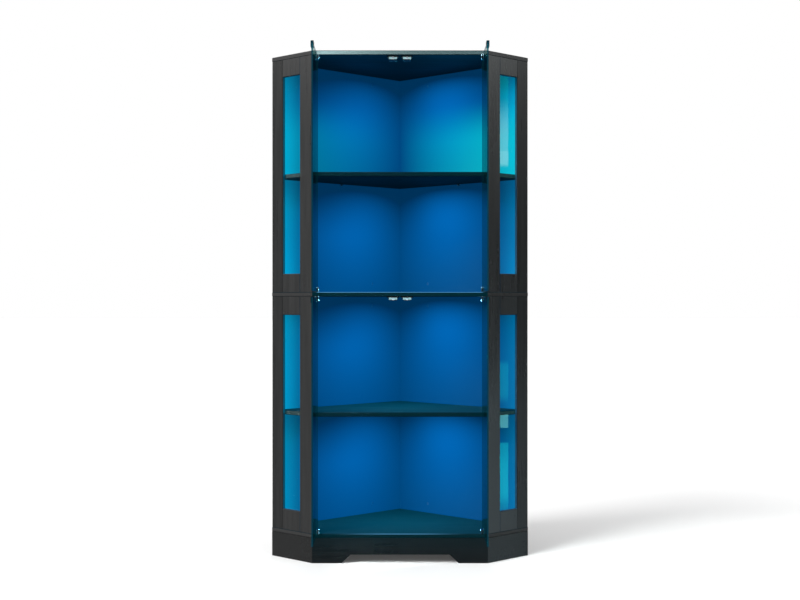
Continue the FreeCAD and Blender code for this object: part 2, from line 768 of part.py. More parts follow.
def pane_fittings():
    """Turn clips that hold the fixed panes in their rebates, and their screws."""
    clips = []
    screws = []
    for storey, floor in FLOORS.items():
        for side_name, side in SIDES.items():
            side_clips = []
            side_screws = []
            for place, line, window in zip(("front", "rear"), clip_screw_lines(), (1, -1)):
                for level, height in zip(("low", "high"), clip_heights(storey)):
                    name = f"clip_{storey}_{side_name}_{place}_{level}"
                    half = D["pane_clip_width"] / 2
                    short = line - window * half
                    long = short + window * D["pane_clip_length"]
                    near, far = (short, long) if window * side > 0 else (long, short)
                    z = floor + height
                    seat = D["board"]
                    top = seat + D["pane_clip_thickness"]
                    plate = block(f"{name}_plate", (side * near, seat, z - half), (side * far, top, z + half))
                    centre = (side * line, seat, z)
                    hole = rod(f"{name}_hole", centre, D["screw_radius"], D["pane_clip_thickness"], (0, 1, 0))
                    side_clips.append(cut_from(name, plate, hole))
                    shank_start = (side * line, seat - D["screw_bite"], z)
                    shank_length = D["screw_bite"] + D["pane_clip_thickness"]
                    shank = rod(f"{name}_shank", shank_start, D["screw_radius"], shank_length, (0, 1, 0))
                    head_start = (side * line, top, z)
                    head = rod(f"{name}_head", head_start, D["screw_head_radius"], D["screw_head"], (0, 1, 0))
                    side_screws.append(join(f"{name}_screw", [shank, head]))
            clips.append(on_side(f"clips_{storey}_{side_name}", side_clips, side))
            screws.append(on_side(f"clip_screws_{storey}_{side_name}", side_screws, side))
    return group("all_pane_clips", clips), group("all_pane_screws", screws)


def add_screwed_fittings():
    """Touch latches and pane clips, with the screws of both in one sub-part."""
    fittings = [latch_fittings(storey) for storey in FLOORS]
    keep(group("touch_latches", [housings for housings, _ in fittings]), "touch_latches")
    clips, clip_screws = pane_fittings()
    keep(clips, "pane_clips")
    keep(group("small_screws", [screws for _, screws in fittings] + [clip_screws]), "small_screws")


def add_shelf_pins():
    pins = []
    length = D["shelf_pin_socket"] + D["shelf_pin_reach"]
    for storey, floor in FLOORS.items():
        z = floor + SHELF_TOP - D["board"] - D["shelf_pin_radius"]
        for side_name, side in SIDES.items():
            name = f"pin_{storey}_{side_name}"
            socket = D["shelf_pin_socket"]
            shapes = []
            for place, line in zip(("front", "rear"), STILE_LINES):
                start = (side * line, D["board"] - socket, z)
                shapes.append(rod(f"{name}_{place}", start, D["shelf_pin_radius"], length, (0, 1, 0)))
            start = (side * (PANEL_FACE + socket), PANEL_PIN_LINE, z)
            shapes.append(rod(f"{name}_back", start, D["shelf_pin_radius"], length, (-side, 0, 0)))
            pins.append(on_side(name, shapes, side))
    keep(group("shelf_pins", pins), "shelf_pins")


def add_cams():
    """Cam discs in the walls and the bolts that they draw down onto the boards."""
    cams = []
    bolts = []
    reach = D["cam_inset"] - D["cam_radius"]
    panel_middle = SIDE_LENGTH - D["back_panel"] / 2
    for storey, floor in FLOORS.items():
        for side_name, side in SIDES.items():
            side_cams = []
            side_bolts = []
            for end, face, up in (("bottom", floor, 1), ("top", floor + STOREY, -1)):
                z = face + up * D["cam_inset"]
                bolt_low = face - D["cam_bolt_bite"] if up > 0 else face - reach
                length = reach + D["cam_bolt_bite"]
                name = f"{storey}_{side_name}_{end}"
                for place, line in zip(("front", "rear"), STILE_LINES):
                    start = (side * line, D["board"] - D["cam_depth"], z)
                    cam_name = f"cam_{name}_{place}"
                    side_cams.append(rod(cam_name, start, D["cam_radius"], D["cam_depth"], (0, 1, 0)))
                    foot = (side * line, FRAME_MIDDLE, bolt_low)
                    side_bolts.append(rod(f"bolt_{name}_{place}", foot, D["cam_bolt_radius"], length))
                for place, line in zip(("near", "far"), PANEL_CAM_LINES):
                    start = (side * (PANEL_FACE + D["cam_depth"]), line, z)
                    cam_name = f"cam_{name}_panel_{place}"
                    side_cams.append(rod(cam_name, start, D["cam_radius"], D["cam_depth"], (-side, 0, 0)))
                    foot = (side * panel_middle, line, bolt_low)
                    side_bolts.append(rod(f"bolt_{name}_panel_{place}", foot, D["cam_bolt_radius"], length))
            cams.append(on_side(f"cams_{storey}_{side_name}", side_cams, side))
            bolts.append(on_side(f"bolts_{storey}_{side_name}", side_bolts, side))
    keep(group("cam_discs", cams), "cam_discs")
    keep(group("cam_bolts", bolts), "cam_bolts")


def add_light_control():
    """Control box under the bottom board, with a socket for a low-voltage plug facing the corner."""
    half = D["control_length"] / 2
    front = D["cabinet_depth"] / 2
    back = front + D["control_width"]
    low = -D["control_height"]
    box = block("light_control_box", (-half, front, low), (half, back, ZERO))
    start = (half / 2, back - D["socket_depth"], low / 2)
    socket = rod("light_control_bore", start, D["socket_radius"], D["socket_depth"], (0, 1, 0))
    keep(cut_from("light_control", box, socket), "light_control", z=D["plinth_height"])


def build():
    add_board("bottom_board", D["plinth_height"], ("top",), False)
    add_board("middle_board", LOWER_FLOOR + STOREY, ("top", "underside"), True)
    add_board("top_board", UPPER_FLOOR + STOREY, ("underside",), True)
    for storey in FLOORS:
        add_shelf(storey)
        for side_name in SIDES:
            for place in ("front", "rear"):
                add_stile(storey, side_name, place)
            for place in ("bottom", "top"):
                add_rail(storey, side_name, place)
            add_pane(storey, side_name)
            add_back_panel(storey, side_name)
            add_leaf(storey, side_name)
            add_hinges(storey, side_name)
            add_striker(storey, side_name)
            add_plunger(storey, side_name)
    add_side_plinths(add_front_plinth())
    add_bushes()
    add_screwed_fittings()
    add_light_strips()
    add_shelf_pins()
    add_cams()
    add_light_control()
    doc.recompute()


def check():
    """Stop if any object failed, any cut removed nothing, or any sub-part isn't sound."""
    for obj in doc.Objects:
        if "Invalid" in obj.State or "Error" in obj.State:
            raise RuntimeError(f"{obj.Name} failed: {obj.State}")
    for cut in cuts:
        if cut.BaseFeature.Shape.Volume - cut.Shape.Volume < 1:
            raise RuntimeError(f"{cut.Name} removes nothing")
    for node in nodes:
        shape = node.Shape
        if shape.isNull() or not shape.isValid() or not shape.Solids:
            raise RuntimeError(f"{node.Label} is not a valid solid")


def write():
    os.makedirs("parts", exist_ok=True)
    for node in nodes:
        node.Shape.exportStep(f"parts/{node.Label}.step")
        print(f"{node.Label}: {len(node.Shape.Solids)} solids, {node.Shape.Volume / 1000:.1f} cm3")
    print(len(nodes), "sub-parts")


build()
check()
write()
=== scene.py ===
"""Corner curio cabinet: finishes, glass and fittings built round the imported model."""

import math
from contextlib import contextmanager

import bmesh
import bpy
from bpy.props import FloatProperty, FloatVectorProperty, IntProperty, PointerProperty
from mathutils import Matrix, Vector


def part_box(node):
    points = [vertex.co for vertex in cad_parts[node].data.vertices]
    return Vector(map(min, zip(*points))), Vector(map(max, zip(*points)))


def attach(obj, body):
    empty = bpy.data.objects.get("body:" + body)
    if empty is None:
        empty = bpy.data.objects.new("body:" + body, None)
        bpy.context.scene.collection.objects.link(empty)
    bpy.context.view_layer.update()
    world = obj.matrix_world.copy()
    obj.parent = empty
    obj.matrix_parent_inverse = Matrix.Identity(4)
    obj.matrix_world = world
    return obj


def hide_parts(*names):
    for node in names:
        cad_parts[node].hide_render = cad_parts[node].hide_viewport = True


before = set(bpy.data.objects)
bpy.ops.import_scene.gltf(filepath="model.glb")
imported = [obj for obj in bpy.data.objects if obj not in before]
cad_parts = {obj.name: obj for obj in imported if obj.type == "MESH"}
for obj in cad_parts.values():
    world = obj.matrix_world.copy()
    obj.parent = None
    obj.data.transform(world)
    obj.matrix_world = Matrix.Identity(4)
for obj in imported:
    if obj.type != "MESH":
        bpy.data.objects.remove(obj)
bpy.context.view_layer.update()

bl_info = {
    "name": "Corner Curio Cabinet",
    "version": (1, 0, 0),
    "blender": (4, 5, 0),
    "location": "3D View > Sidebar > Cabinet",
    "description": "Finishes, glass and fittings of a lit corner display cabinet",
    "category": "Object",
}

STOREYS = ("lower", "upper")
SIDES = {"left": -1, "right": 1}

# The four bays are equally tall. A lamp hangs under the ceiling of each one.
BAYS = 4
BAY_PITCH = 0.4125
BAY_HEIGHT = 0.3975
STOREY_PITCH = 2 * BAY_PITCH
HALF_BOARD = 0.0075
TOP_BOARD_MIDDLE = 1.7425
BOTTOM_BOARD_MIDDLE = TOP_BOARD_MIDDLE - BAYS * BAY_PITCH
LAMP_Y = 0.067
LAMP_SPREAD = 0.08

# Heights between which the inside is lit, and heights that part the bays from each other
LIT_HEIGHTS = (0.092, 1.742)
LOWEST_SHELF = 0.5
UPPER_STOREY = 0.9
TOP_SHELF = 1.33

# Where the fittings are
PIVOT_X = 0.283
PIVOT_Y = -0.15575
LATCH_X = 0.024
LATCH_Y = -0.14075
CEILINGS = {"lower": 0.910, "upper": 1.735}
DOOR_ENDS = {"lower": (0.103, 0.907), "upper": (0.928, 1.732)}
GLASS_HALF = 0.0025
SLOT_HALF = GLASS_HALF + 0.0001
PAST = 0.01  # How far a cutting form reaches past what it cuts

DIAGONAL = math.sqrt(0.5)
EIGHTH_TURN, QUARTER_TURN, HALF_TURN = (math.radians(degrees) for degrees in (45, 90, 180))
X, Y, Z = range(3)
ALIGNED = 0.99  # How closely a direction follows an axis to count as running along it


# Sizes and colours that a user would change

def number(name, about, default, **settings):
    return FloatProperty(name=name, description=about, default=default, min=0, **settings)


def length(name, about, default):
    return number(name, about, default, unit="LENGTH", precision=4)


def share(name, about, default, top=1.0):
    return number(name, about, default, max=top, subtype="FACTOR")


def colour(name, about, default):
    return FloatVectorProperty(
        name=name, description=about, default=default, min=0, max=8, size=3, subtype="COLOR"
    )


def box_size(name, about, default):
    return FloatVectorProperty(name=name, description=about, default=default, subtype="XYZ_LENGTH")


class CABINET_PG_boards(bpy.types.PropertyGroup):
    """The black laminate of the boards and frames."""

    black: colour("Black", "Laminate between the grain lines", (0.0060, 0.0064, 0.0066))
    grain: colour("Grain", "Laminate on the grain lines", (0.0125, 0.0128, 0.0130))
    edging: colour("Edging", "Laminate along the broken edges", (0.0030, 0.0032, 0.0034))
    roughness: share("Roughness", "Roughness of the laminate", 0.32)
    edge: length("Edge", "Width of the softened edge", 0.0015)
    # Painted light and shade: this blue-black base goes on the inner faces where the bays' glow is painted,
    # and as painted shade on the front edges, on the plinth most strongly towards its top
    inside: colour("Inside", "Laminate on surfaces that the lamps light", (0.0, 0.0035, 0.006))


class CABINET_PG_light(bpy.types.PropertyGroup):
    """The light inside the cabinet."""

    strength: share("Strength", "Strength of the glow in the bays", 1.0, 4.0)
    direct: colour("Direct", "Glow straight from a lamp", (0.0, 0.0442, 0.158))
    bounced: colour("Bounced", "Glow added towards the floor of a bay", (0.0, 0.0213, 0.0635))
    lost: colour("Lost", "Glow taken off where little light falls", (0.0, 0.0125, 0.0488))
    least: colour("Least", "Glow in the darkest parts of a bay", (0.0, 0.030, 0.095))
    daylight: colour("Daylight", "Paler glow low in the top bay", (0.0, 0.31, 0.26))
    window: colour("Window", "Paler glow beside the left windows", (0.0, 0.114, 0.178))
    right_window: colour("Right window", "Paler glow beside the right windows", (0.0, 0.105, 0.214))
    spill: colour("Spill", "Glow on the front edges of the boards", (0.0, 0.016, 0.021))
    rim: colour("Rim", "Glow on the broken upper edges of the boards", (0.09, 0.30, 0.55))
    lamp: colour("Lamp", "Colour of the lamps", (0.10, 0.62, 1.0))
    lamp_power: number("Lamp power", "Power of one lamp", 1.2, unit="POWER")
    glint_power: number("Glint power", "Power of the lamp behind the clamps' highlights", 70.0, unit="POWER")
    glint: colour("Glint", "Colour of the lamp behind the clamps' highlights", (0.45, 0.85, 1.0))
    strip: colour("Strip", "Colour of the light strips", (0.08, 0.55, 1.0))


class CABINET_PG_glass(bpy.types.PropertyGroup):
    """The door leaves and the side panes."""

    clear: colour("Clear", "Tint through the thickness of a door", (0.86, 0.95, 0.95))
    deep: colour("Deep", "Tint along the length of a pane", (0.05, 0.25, 0.20))
    edge: colour("Edge", "Tint through the polished edges", (0.0005, 0.03, 0.05))
    edge_glow: colour("Edge glow", "Light carried to the polished edges", (0.002, 0.021, 0.032))
    side: colour("Side pane", "Tint of the side panes", (0.82, 0.97, 1.0))
    door_sheen: share("Door sheen", "How strongly the doors mirror", 0.5)
    side_sheen: share("Side sheen", "How strongly the side panes mirror", 1.0)
    arris: length("Arris", "Width of the ground edges of a pane", 0.0008)
    corner: length("Corner", "Radius of a door leaf's corners", 0.0015)
    roughness: share("Roughness", "Roughness of the glass", 0.015)


class CABINET_PG_fittings(bpy.types.PropertyGroup):
    """Hinges, latches and other fittings."""

    # Painted reflection: the teal in this metal's tint stands for the lit bays that it mirrors
    chrome: colour("Chrome", "Polished metal", (0.34, 0.56, 0.66))
    zinc: colour("Zinc", "Plated steel", (0.52, 0.53, 0.52))
    # A darker metal for the strikers; the teal in its tint is a painted reflection of the lit bays
    smoked: colour("Smoked chrome", "Darker metal of the strikers", (0.10, 0.17, 0.18))
    # Pale latch plastic; its cyan cast is partly painted light from the blue lamps
    latch: colour("Latch", "Pale plastic of the latches' fronts", (0.50, 0.84, 0.90))
    black: colour("Black plastic", "Plastic of bushes, clips and boxes", (0.012, 0.012, 0.013))
    round: length("Rounding", "Width of the rounded edges of metal parts", 0.0005)
    sides: IntProperty(name="Sides", description="Faces round a turned part", default=32, min=12, max=96)


class CABINET_PG_stage(bpy.types.PropertyGroup):
    """The studio round the cabinet."""

    camera_height: length("Camera height", "Lens above the floor", 0.898)
    camera_distance: length("Camera distance", "Lens in front of the cabinet's middle", 4.963)
    lens: number("Lens", "Focal length", 63.3, unit="CAMERA")
    floor: colour("Floor", "Pale floor", (0.86, 0.86, 0.86))
    lift: share("Lift", "Light added to the floor, so that its shadows stay soft", 0.06)
    fill: share("Fill", "Light that reaches matt surfaces from all round", 0.82, 4.0)
    key: number("Key", "Strength of the soft key light", 5.0)
    floor_key: number("Floor key", "Strength of the key light on the floor", 3.0)
    key_angle: number("Key softness", "How wide the key light looks", math.radians(33), subtype="ANGLE")


# Node trees

def feed(tree, node, inputs):
    """Gives a node's sockets their links and values."""
    for label, value in inputs.items():
        join(tree, value, node.inputs[label])


def put(tree, kind, inputs=None, **settings):
    """Adds a shader node, with its settings and with values or links on its sockets."""
    node = tree.nodes.new("ShaderNode" + kind)
    for key, value in settings.items():
        setattr(node, key, value)
    feed(tree, node, inputs or {})
    return node


def join(tree, value, socket):
    """Links a socket to another socket or to a signal, or gives it a plain value."""
    if isinstance(value, Signal):
        value = value.socket
    if isinstance(value, bpy.types.NodeSocket):
        tree.links.new(value, socket)
    elif hasattr(socket.default_value, "__len__") and len(value) < len(socket.default_value):
        socket.default_value = (*value, 1)
    else:
        socket.default_value = value


class Signal:
    """A number in a node tree, so that sums are written as sums."""

    def __init__(self, tree, socket):
        self.tree, self.socket = tree, socket

    def by(self, operation, *others):
        node = put(self.tree, "Math", dict(enumerate((self, *others))), operation=operation)
        return Signal(self.tree, node.outputs[0])

    def __add__(self, other):
        return self.by("ADD", other)

    def __sub__(self, other):
        return self.by("SUBTRACT", other)

    def __mul__(self, other):
        return self.by("MULTIPLY", other)

    def __truediv__(self, other):
        return self.by("DIVIDE", other)

    def __pow__(self, other):
        return self.by("POWER", other)

    def flipped(self):
        return self * -1

    def least(self, other):
        return self.by("MAXIMUM", other)

    def most(self, other):
        return self.by("MINIMUM", other)

    def size(self):
        return self.by("ABSOLUTE")

    def over(self, other):
        return self.by("GREATER_THAN", other)

    def under(self, other):
        return self.by("LESS_THAN", other)

    def step(self, start, end, low=0.0, high=1.0):
        """A smooth rise from low to high between two values."""
        inputs = {"Value": self, "From Min": start, "From Max": end, "To Min": low, "To Max": high}
        node = put(self.tree, "MapRange", inputs, interpolation_type="SMOOTHSTEP")
        return Signal(self.tree, node.outputs[0])


def parts(tree, socket):
    """The three parts of a vector, as signals."""
    return [Signal(tree, output) for output in put(tree, "SeparateXYZ", {"Vector": socket}).outputs]


def combined(tree, first, second, operation="ADD"):
    """Two colours or vectors, added unless another operation is named."""
    return put(tree, "VectorMath", {0: first, 1: second}, operation=operation).outputs[0]


def dot(tree, first, second):
    """How far two directions agree, as a signal."""
    node = put(tree, "VectorMath", {0: first, 1: second}, operation="DOT_PRODUCT")
    return Signal(tree, node.outputs["Value"])


def scaled(tree, vector, amount):
    """A colour or vector multiplied by a signal."""
    return put(tree, "VectorMath", {0: vector, "Scale": amount}, operation="SCALE").outputs[0]


def mixed(tree, factor, first, second):
    """A colour between two others."""
    return put(tree, "Mix", {0: factor, 6: first, 7: second}, data_type="RGBA").outputs[2]


def noise(tree, vector, scale, detail=2.0):
    """Cloudy noise, as a signal."""
    node = put(tree, "TexNoise", {"Vector": vector, "Scale": scale, "Detail": detail})
    return Signal(tree, node.outputs[0])


def cells(tree, vector, scale):
    """Distance to the nearest of many scattered points, as a signal."""
    node = put(tree, "TexVoronoi", {"Vector": vector, "Scale": scale})
    return Signal(tree, node.outputs["Distance"])


def new_group(name, inputs, outputs):
    """An empty node group with named sockets: {label: (kind, default)} in, {label: kind} out."""
    tree = bpy.data.node_groups.new(name, "ShaderNodeTree")
    for label, (kind, default) in inputs.items():
        socket = tree.interface.new_socket(label, in_out="INPUT", socket_type="NodeSocket" + kind)
        if default is not None:
            socket.default_value = default
    for label, kind in outputs.items():
        tree.interface.new_socket(label, in_out="OUTPUT", socket_type="NodeSocket" + kind)
    return tree, tree.nodes.new("NodeGroupInput").outputs, tree.nodes.new("NodeGroupOutput")


PORE_FINENESS = 4.3


def grain_group():
    """Fine straight grain: a mask of lines and a height, along whichever axis the vector is stretched."""
    tree, given, result = new_group(
        "board_grain",
        {"Vector": ("Vector", None), "Fineness": ("Float", 1.0)},
        {"Lines": "Float", "Height": "Float"},
    )
    finer = Signal(tree, given["Fineness"]) * PORE_FINENESS
    band = noise(tree, given["Vector"], given["Fineness"], 3.0).step(0.35, 0.70)
    pores = noise(tree, given["Vector"], finer).step(0.52, 0.72)
    feed(tree, result, {"Lines": band * 0.55 + pores * 0.45, "Height": band * 0.4 - pores * 0.6})


def edge_group():
    """Softened edges: the rounded normal, and a mask of the strip along each edge."""
    tree, given, result = new_group(
        "edge_line",
        {"Width": ("Float", 0.001), "Vector": ("Vector", None)},
        {"Normal": "Vector", "Edge": "Float"},
    )
    soft = put(tree, "Bevel", {"Radius": given["Width"]}, samples=4).outputs[0]
    edge = dot(tree, soft, put(tree, "NewGeometry").outputs["Normal"]).step(0.995, 0.92)
    patchy = noise(tree, given["Vector"], 22.0, 3.0).step(0.35, 0.66, 0.6, 1.0)
    feed(tree, result, {"Normal": soft, "Edge": edge * patchy})


def haze_group():
    """Slight unevenness of a finish: a mask of broad clouds and of small specks of dust."""
    tree, given, result = new_group(
        "surface_haze",
        {"Vector": ("Vector", None), "Scale": ("Float", 6.0)},
        {"Clouds": "Float", "Specks": "Float"},
    )
    clouds = noise(tree, given["Vector"], given["Scale"], 4.0).step(0.3, 0.7)
    dots = cells(tree, given["Vector"], 260.0).step(0.16, 0.06)
    rare = noise(tree, given["Vector"], 90.0).step(0.6, 0.7)
    feed(tree, result, {"Clouds": clouds, "Specks": dots * rare})


def glow_group(light):
    """Light that the lamps throw on the surfaces of the four bays, from each surface's place and direction.

    A lamp under the ceiling of a bay shines downwards. What reaches a surface falls with the
    distance and with the slant at both ends. Faces turned away from the inside get nothing.
    """
    tree, given, result = new_group(
        "bay_glow",
        {
            "Tint": ("Color", (1, 1, 1, 1)),
            "Daylight": ("Float", 1.0),
            "Spill": ("Float", 0.0),
            "Rim": ("Float", 0.0),
        },
        {"Glow": "Color", "Inside": "Float", "Front": "Float"},
    )
    place = put(tree, "TexCoord").outputs
    x, y, z = parts(tree, place["Object"])
    nx, ny, nz = parts(tree, place["Normal"])

    # Where a surface lies: how far below its bay's ceiling and from the middle, in which bay, on which side
    drop = (z.flipped() + TOP_BOARD_MIDDLE).by("MODULO", BAY_PITCH) - HALF_BOARD
    depth = drop / BAY_HEIGHT
    aside = x.size()
    top_bay, not_lowest = z.over(TOP_SHELF), z.over(LOWEST_SHELF)
    at_left = x.under(0)
    at_right = at_left.flipped() + 1

    # Which way it faces, and whether that is into a bay
    level, upright, downward = nz.size().over(0.5), nz.size().under(0.5), nz.under(-0.5)
    across, back = x.flipped(), y.flipped() + LAMP_Y
    faces_in = (across * nx + (y.flipped() + 0.05) * ny).over(0.03) * upright
    inside = faces_in.least(level) * (z.over(LIT_HEIGHTS[0]) * z.under(LIT_HEIGHTS[1]))

    # Straight from the lamp
    spread = across * across + back * back + drop * drop + LAMP_SPREAD ** 2
    facing = (across * nx + back * ny + drop * nz).least(0)
    direct = (drop.least(0) * facing / (spread * spread)) ** 0.7

    # Daylight low in the top bay, which grows towards both sides and is weaker at the left
    from_middle = x.flipped().least(0) * 0.3 + x.least(0)
    daylight = (from_middle / 0.28).most(1.15) * drop.step(0.10, 0.27) * top_bay * upright
    daylight = daylight * Signal(tree, given["Daylight"])

    # Light beside the windows, with its share at each side and height, and a beam in the top bay
    beside = aside.step(0.30, 0.385) * upright * drop.step(0.0, 0.12, 0.55, 1.0)
    beside = beside * aside.step(0.36, 0.41, 0.72, 1.4)
    beam = at_right * top_bay * drop.step(0.04, 0.12) * drop.step(0.26, 0.16)
    left_share = at_left * (not_lowest * 0.35 - top_bay * 0.2 + 0.45)
    right_share = at_right * (top_bay * 0.155 - z.under(UPPER_STOREY) * 0.1)
    low_share = (z.over(UPPER_STOREY) - top_bay) * drop.step(0.18, 0.34) * 0.3
    beside = beside * (left_share + right_share + low_share + 1.0) * (beam * 0.7 + 1)
    beside_tint = mixed(tree, at_left.least(top_bay), light.right_window, light.window)

    # The painted light on the walls under a ceiling is a little weaker left of the middle and stronger right
    # of it
    uneven = x.step(-0.25, -0.04, -0.32, 0.0) + x.step(0.03, 0.14, 0.0, 0.2)
    uneven = uneven * aside.step(0.33, 0.29) * drop.step(0.22, 0.04) * upright
    ceiling_loss = downward * (top_bay * -0.06 - 0.79)

    lit = combined(tree, scaled(tree, light.direct, direct), scaled(tree, light.bounced, depth))
    lit = scaled(tree, combined(tree, lit, light.lost, "SUBTRACT"), uneven + 1)
    lit = combined(tree, lit, light.least, "MAXIMUM")
    lit = scaled(tree, lit, ceiling_loss + 1)
    lit = combined(tree, lit, scaled(tree, light.daylight, daylight))
    lit = combined(tree, lit, scaled(tree, beside_tint, beside))
    lit = combined(tree, lit, given["Tint"], "MULTIPLY")
    lit = scaled(tree, lit, inside * light.strength)

    # What spills on the front edges between the side frames, and on their broken upper edges
    # The same front mask, weaker towards the floor, also lays painted shade on these front edges in the
    # laminate
    front = ny.under(-0.9) * aside.under(0.301) * z.step(0.0, 0.14, 0.25, 1.0) * Signal(tree, given["Spill"])
    near_lamp = aside.step(0.24, 0.05).least(not_lowest) * aside.under(0.284)
    rim = nz.step(0.2, 0.6) * ny.flipped().step(0.2, 0.6) * near_lamp * Signal(tree, given["Rim"])
    lit = combined(tree, lit, scaled(tree, light.spill, front))
    lit = combined(tree, lit, scaled(tree, light.rim, rim))
    feed(tree, result, {"Glow": lit, "Inside": inside, "Front": front})


def placed(tree, name, **inputs):
    """A node group placed in a material with its own values, and its outputs as signals."""
    node = tree.nodes.new("ShaderNodeGroup")
    node.node_tree = bpy.data.node_groups[name]
    feed(tree, node, inputs)
    return {output.name: Signal(tree, output) for output in node.outputs}


def emptied(owner):
    """The node tree of a material or a world, with nothing in it."""
    owner.use_nodes = True
    owner.node_tree.nodes.clear()
    return owner.node_tree


def new_material(name):
    """An empty material with its surface shader, and the object's own coordinates."""
    material = bpy.data.materials.new(name)
    tree = emptied(material)
    shader = put(tree, "BsdfPrincipled")
    put(tree, "OutputMaterial", {"Surface": shader.outputs[0]})
    return material, tree, shader, put(tree, "TexCoord").outputs["Object"]


def stretched(tree, here, scale):
    """Object coordinates, squeezed along one axis so that a pattern runs that way."""
    return put(tree, "Mapping", {"Vector": here, "Scale": scale}).outputs[0]


def darker(tint, amount):
    """A colour multiplied by a number."""
    return tuple(part * amount for part in tint)


PANE_SPILL = (0.0, 0.055, 0.060)
DUST = (0.12, 0.12, 0.12)
GRAIN_ALONG = {"x": (3.0, 90.0, 90.0), "z": (90.0, 90.0, 3.0)}
GRAIN_RELIEF = 0.0003
FINE_RELIEF = 0.0001
SCRATCHED = (60.0, 60.0, 2400.0)


def laminate(
    name, along, tint, boards, daylight=1.0, spill=0.0, rim=0.0,
    specular=0.5, smoother=0.0, figure=1.0, ends=0.0, lit_ends=0.0,
):
    """Black wood-grained laminate, with the light of the bays on its inner faces.

    Figure is the strength of the grain, ends how much paler slanted end faces are painted, as painted
    light, and lit_ends how much light those faces catch behind the side panes.
    """
    material, tree, shader, here = new_material(name)
    grain = placed(tree, "board_grain", Vector=stretched(tree, here, GRAIN_ALONG[along]))
    edge = placed(tree, "edge_line", Width=boards.edge, Vector=here)
    haze = placed(tree, "surface_haze", Vector=here, Scale=5.0)
    glow = placed(tree, "bay_glow", Tint=(*tint, 1), Daylight=daylight, Spill=spill, Rim=rim)
    nx, ny, _ = parts(tree, put(tree, "TexCoord").outputs["Normal"])
    slanted = nx.size().over(0.5) * ny.under(-0.5)
    # Where the painted blue-black tint of the lit inner faces and the painted shade of the front edges go
    shaded = glow["Inside"].least((glow["Front"] * 1.8).most(1))

    base = mixed(tree, grain["Lines"] * figure, boards.black, boards.grain)
    # Painted light: slanted end faces get a paler base, as if lit
    base = mixed(tree, slanted * min(ends, 1), base, tuple(part + 0.008 * ends for part in boards.grain))
    base = mixed(tree, edge["Edge"], base, boards.edging)
    base = mixed(tree, haze["Specks"] * 0.25, base, DUST)
    # Painted light and shade: the blue-black base on the lit inner faces and on the shaded front edges
    base = mixed(tree, shaded, base, boards.inside)
    rough = haze["Clouds"] * 0.08 + grain["Lines"] * 0.10 + (boards.roughness - smoother - 0.08)
    light = combined(tree, glow["Glow"], scaled(tree, PANE_SPILL, slanted * lit_ends))
    relief = {"Strength": 0.35 * figure, "Distance": GRAIN_RELIEF}
    bump = put(tree, "Bump", {**relief, "Height": grain["Height"], "Normal": edge["Normal"]})
    feed(tree, shader, {
        "Base Color": base,
        "Roughness": rough + glow["Inside"] * 0.3,
        "Specular IOR Level": specular,
        "Normal": bump.outputs[0],
        "Emission Color": light,
        "Emission Strength": 1.0,
    })
    return material


def glass(name, clear, panes, tilt, sheen):
    """Float glass: clear to look through, deep teal along its length, with edges that carry the bays' light.

    Tilt is the direction of the pane's broad faces, and sheen is how strongly they mirror.
    """
    material, tree, shader, here = new_material(name)
    facing = dot(tree, put(tree, "TexCoord").outputs["Normal"], tilt).size()
    broad, narrow = facing.over(0.95), facing.under(0.3)
    arris = facing.over(0.3) * facing.under(0.95)
    haze = placed(tree, "surface_haze", Vector=here, Scale=4.0)
    grazing = Signal(tree, put(tree, "LayerWeight", {"Blend": 0.5}).outputs["Facing"]).step(0.82, 0.94)
    tint = mixed(tree, grazing, clear, panes.deep)
    tint = mixed(tree, broad, panes.edge, tint)
    tint = mixed(tree, haze["Specks"] * 0.15, tint, (0.8, 0.8, 0.8))
    feed(tree, shader, {
        "Base Color": tint,
        "Roughness": haze["Clouds"] * 0.01 + broad * -0.10 + (panes.roughness + 0.10),
        "IOR": 1.0,
        "Transmission Weight": 1.0,
        "Coat Weight": sheen,
        "Coat Roughness": panes.roughness,
        "Emission Color": scaled(tree, panes.edge_glow, narrow + arris * 3.5),
        "Emission Strength": 1.0,
    })
    return material


def metal(name, tint, roughness, brushed):
    """Plated or polished metal with fine scratches."""
    material, tree, shader, here = new_material(name)
    scratches = noise(tree, stretched(tree, here, SCRATCHED), 1.0, 3.0)
    haze = placed(tree, "surface_haze", Vector=here, Scale=40.0)
    bump = put(tree, "Bump", {"Strength": 0.12, "Distance": FINE_RELIEF, "Height": scratches})
    feed(tree, shader, {
        "Base Color": mixed(tree, haze["Clouds"] * 0.35, tint, darker(tint, 0.8)),
        "Metallic": 1.0,
        "Roughness": scratches * brushed + haze["Clouds"] * 0.06 + roughness,
        "Normal": bump.outputs[0],
    })
    return material


def plastic(name, tint, roughness, grain=0.2, band=None):
    """Moulded plastic with a fine spark-eroded texture.

    Band is how far below each storey's ceiling the pale tint starts and stops: above and below it the
    plastic is painted dark, as painted shade.
    """
    material, tree, shader, here = new_material(name)
    haze = placed(tree, "surface_haze", Vector=here, Scale=30.0)
    base = mixed(tree, haze["Clouds"] * 0.5, tint, darker(tint, 0.86))
    base = mixed(tree, haze["Specks"] * 0.4, base, (0.3, 0.3, 0.3))
    # Painted shade: above and below the band the pale tint gives way to a dark teal
    if band:
        drop = (parts(tree, here)[2].flipped() + CEILINGS["upper"]).by("MODULO", STOREY_PITCH)
        base = mixed(tree, drop.over(band[0]) * drop.under(band[1]), (0.03, 0.05, 0.055), base)
    pits = cells(tree, here, 1800.0)
    bump = put(tree, "Bump", {"Strength": grain, "Distance": FINE_RELIEF, "Height": pits})
    feed(tree, shader, {
        "Base Color": base,
        "Roughness": haze["Clouds"] * 0.1 + roughness,
        "Normal": bump.outputs[0],
    })
    return material


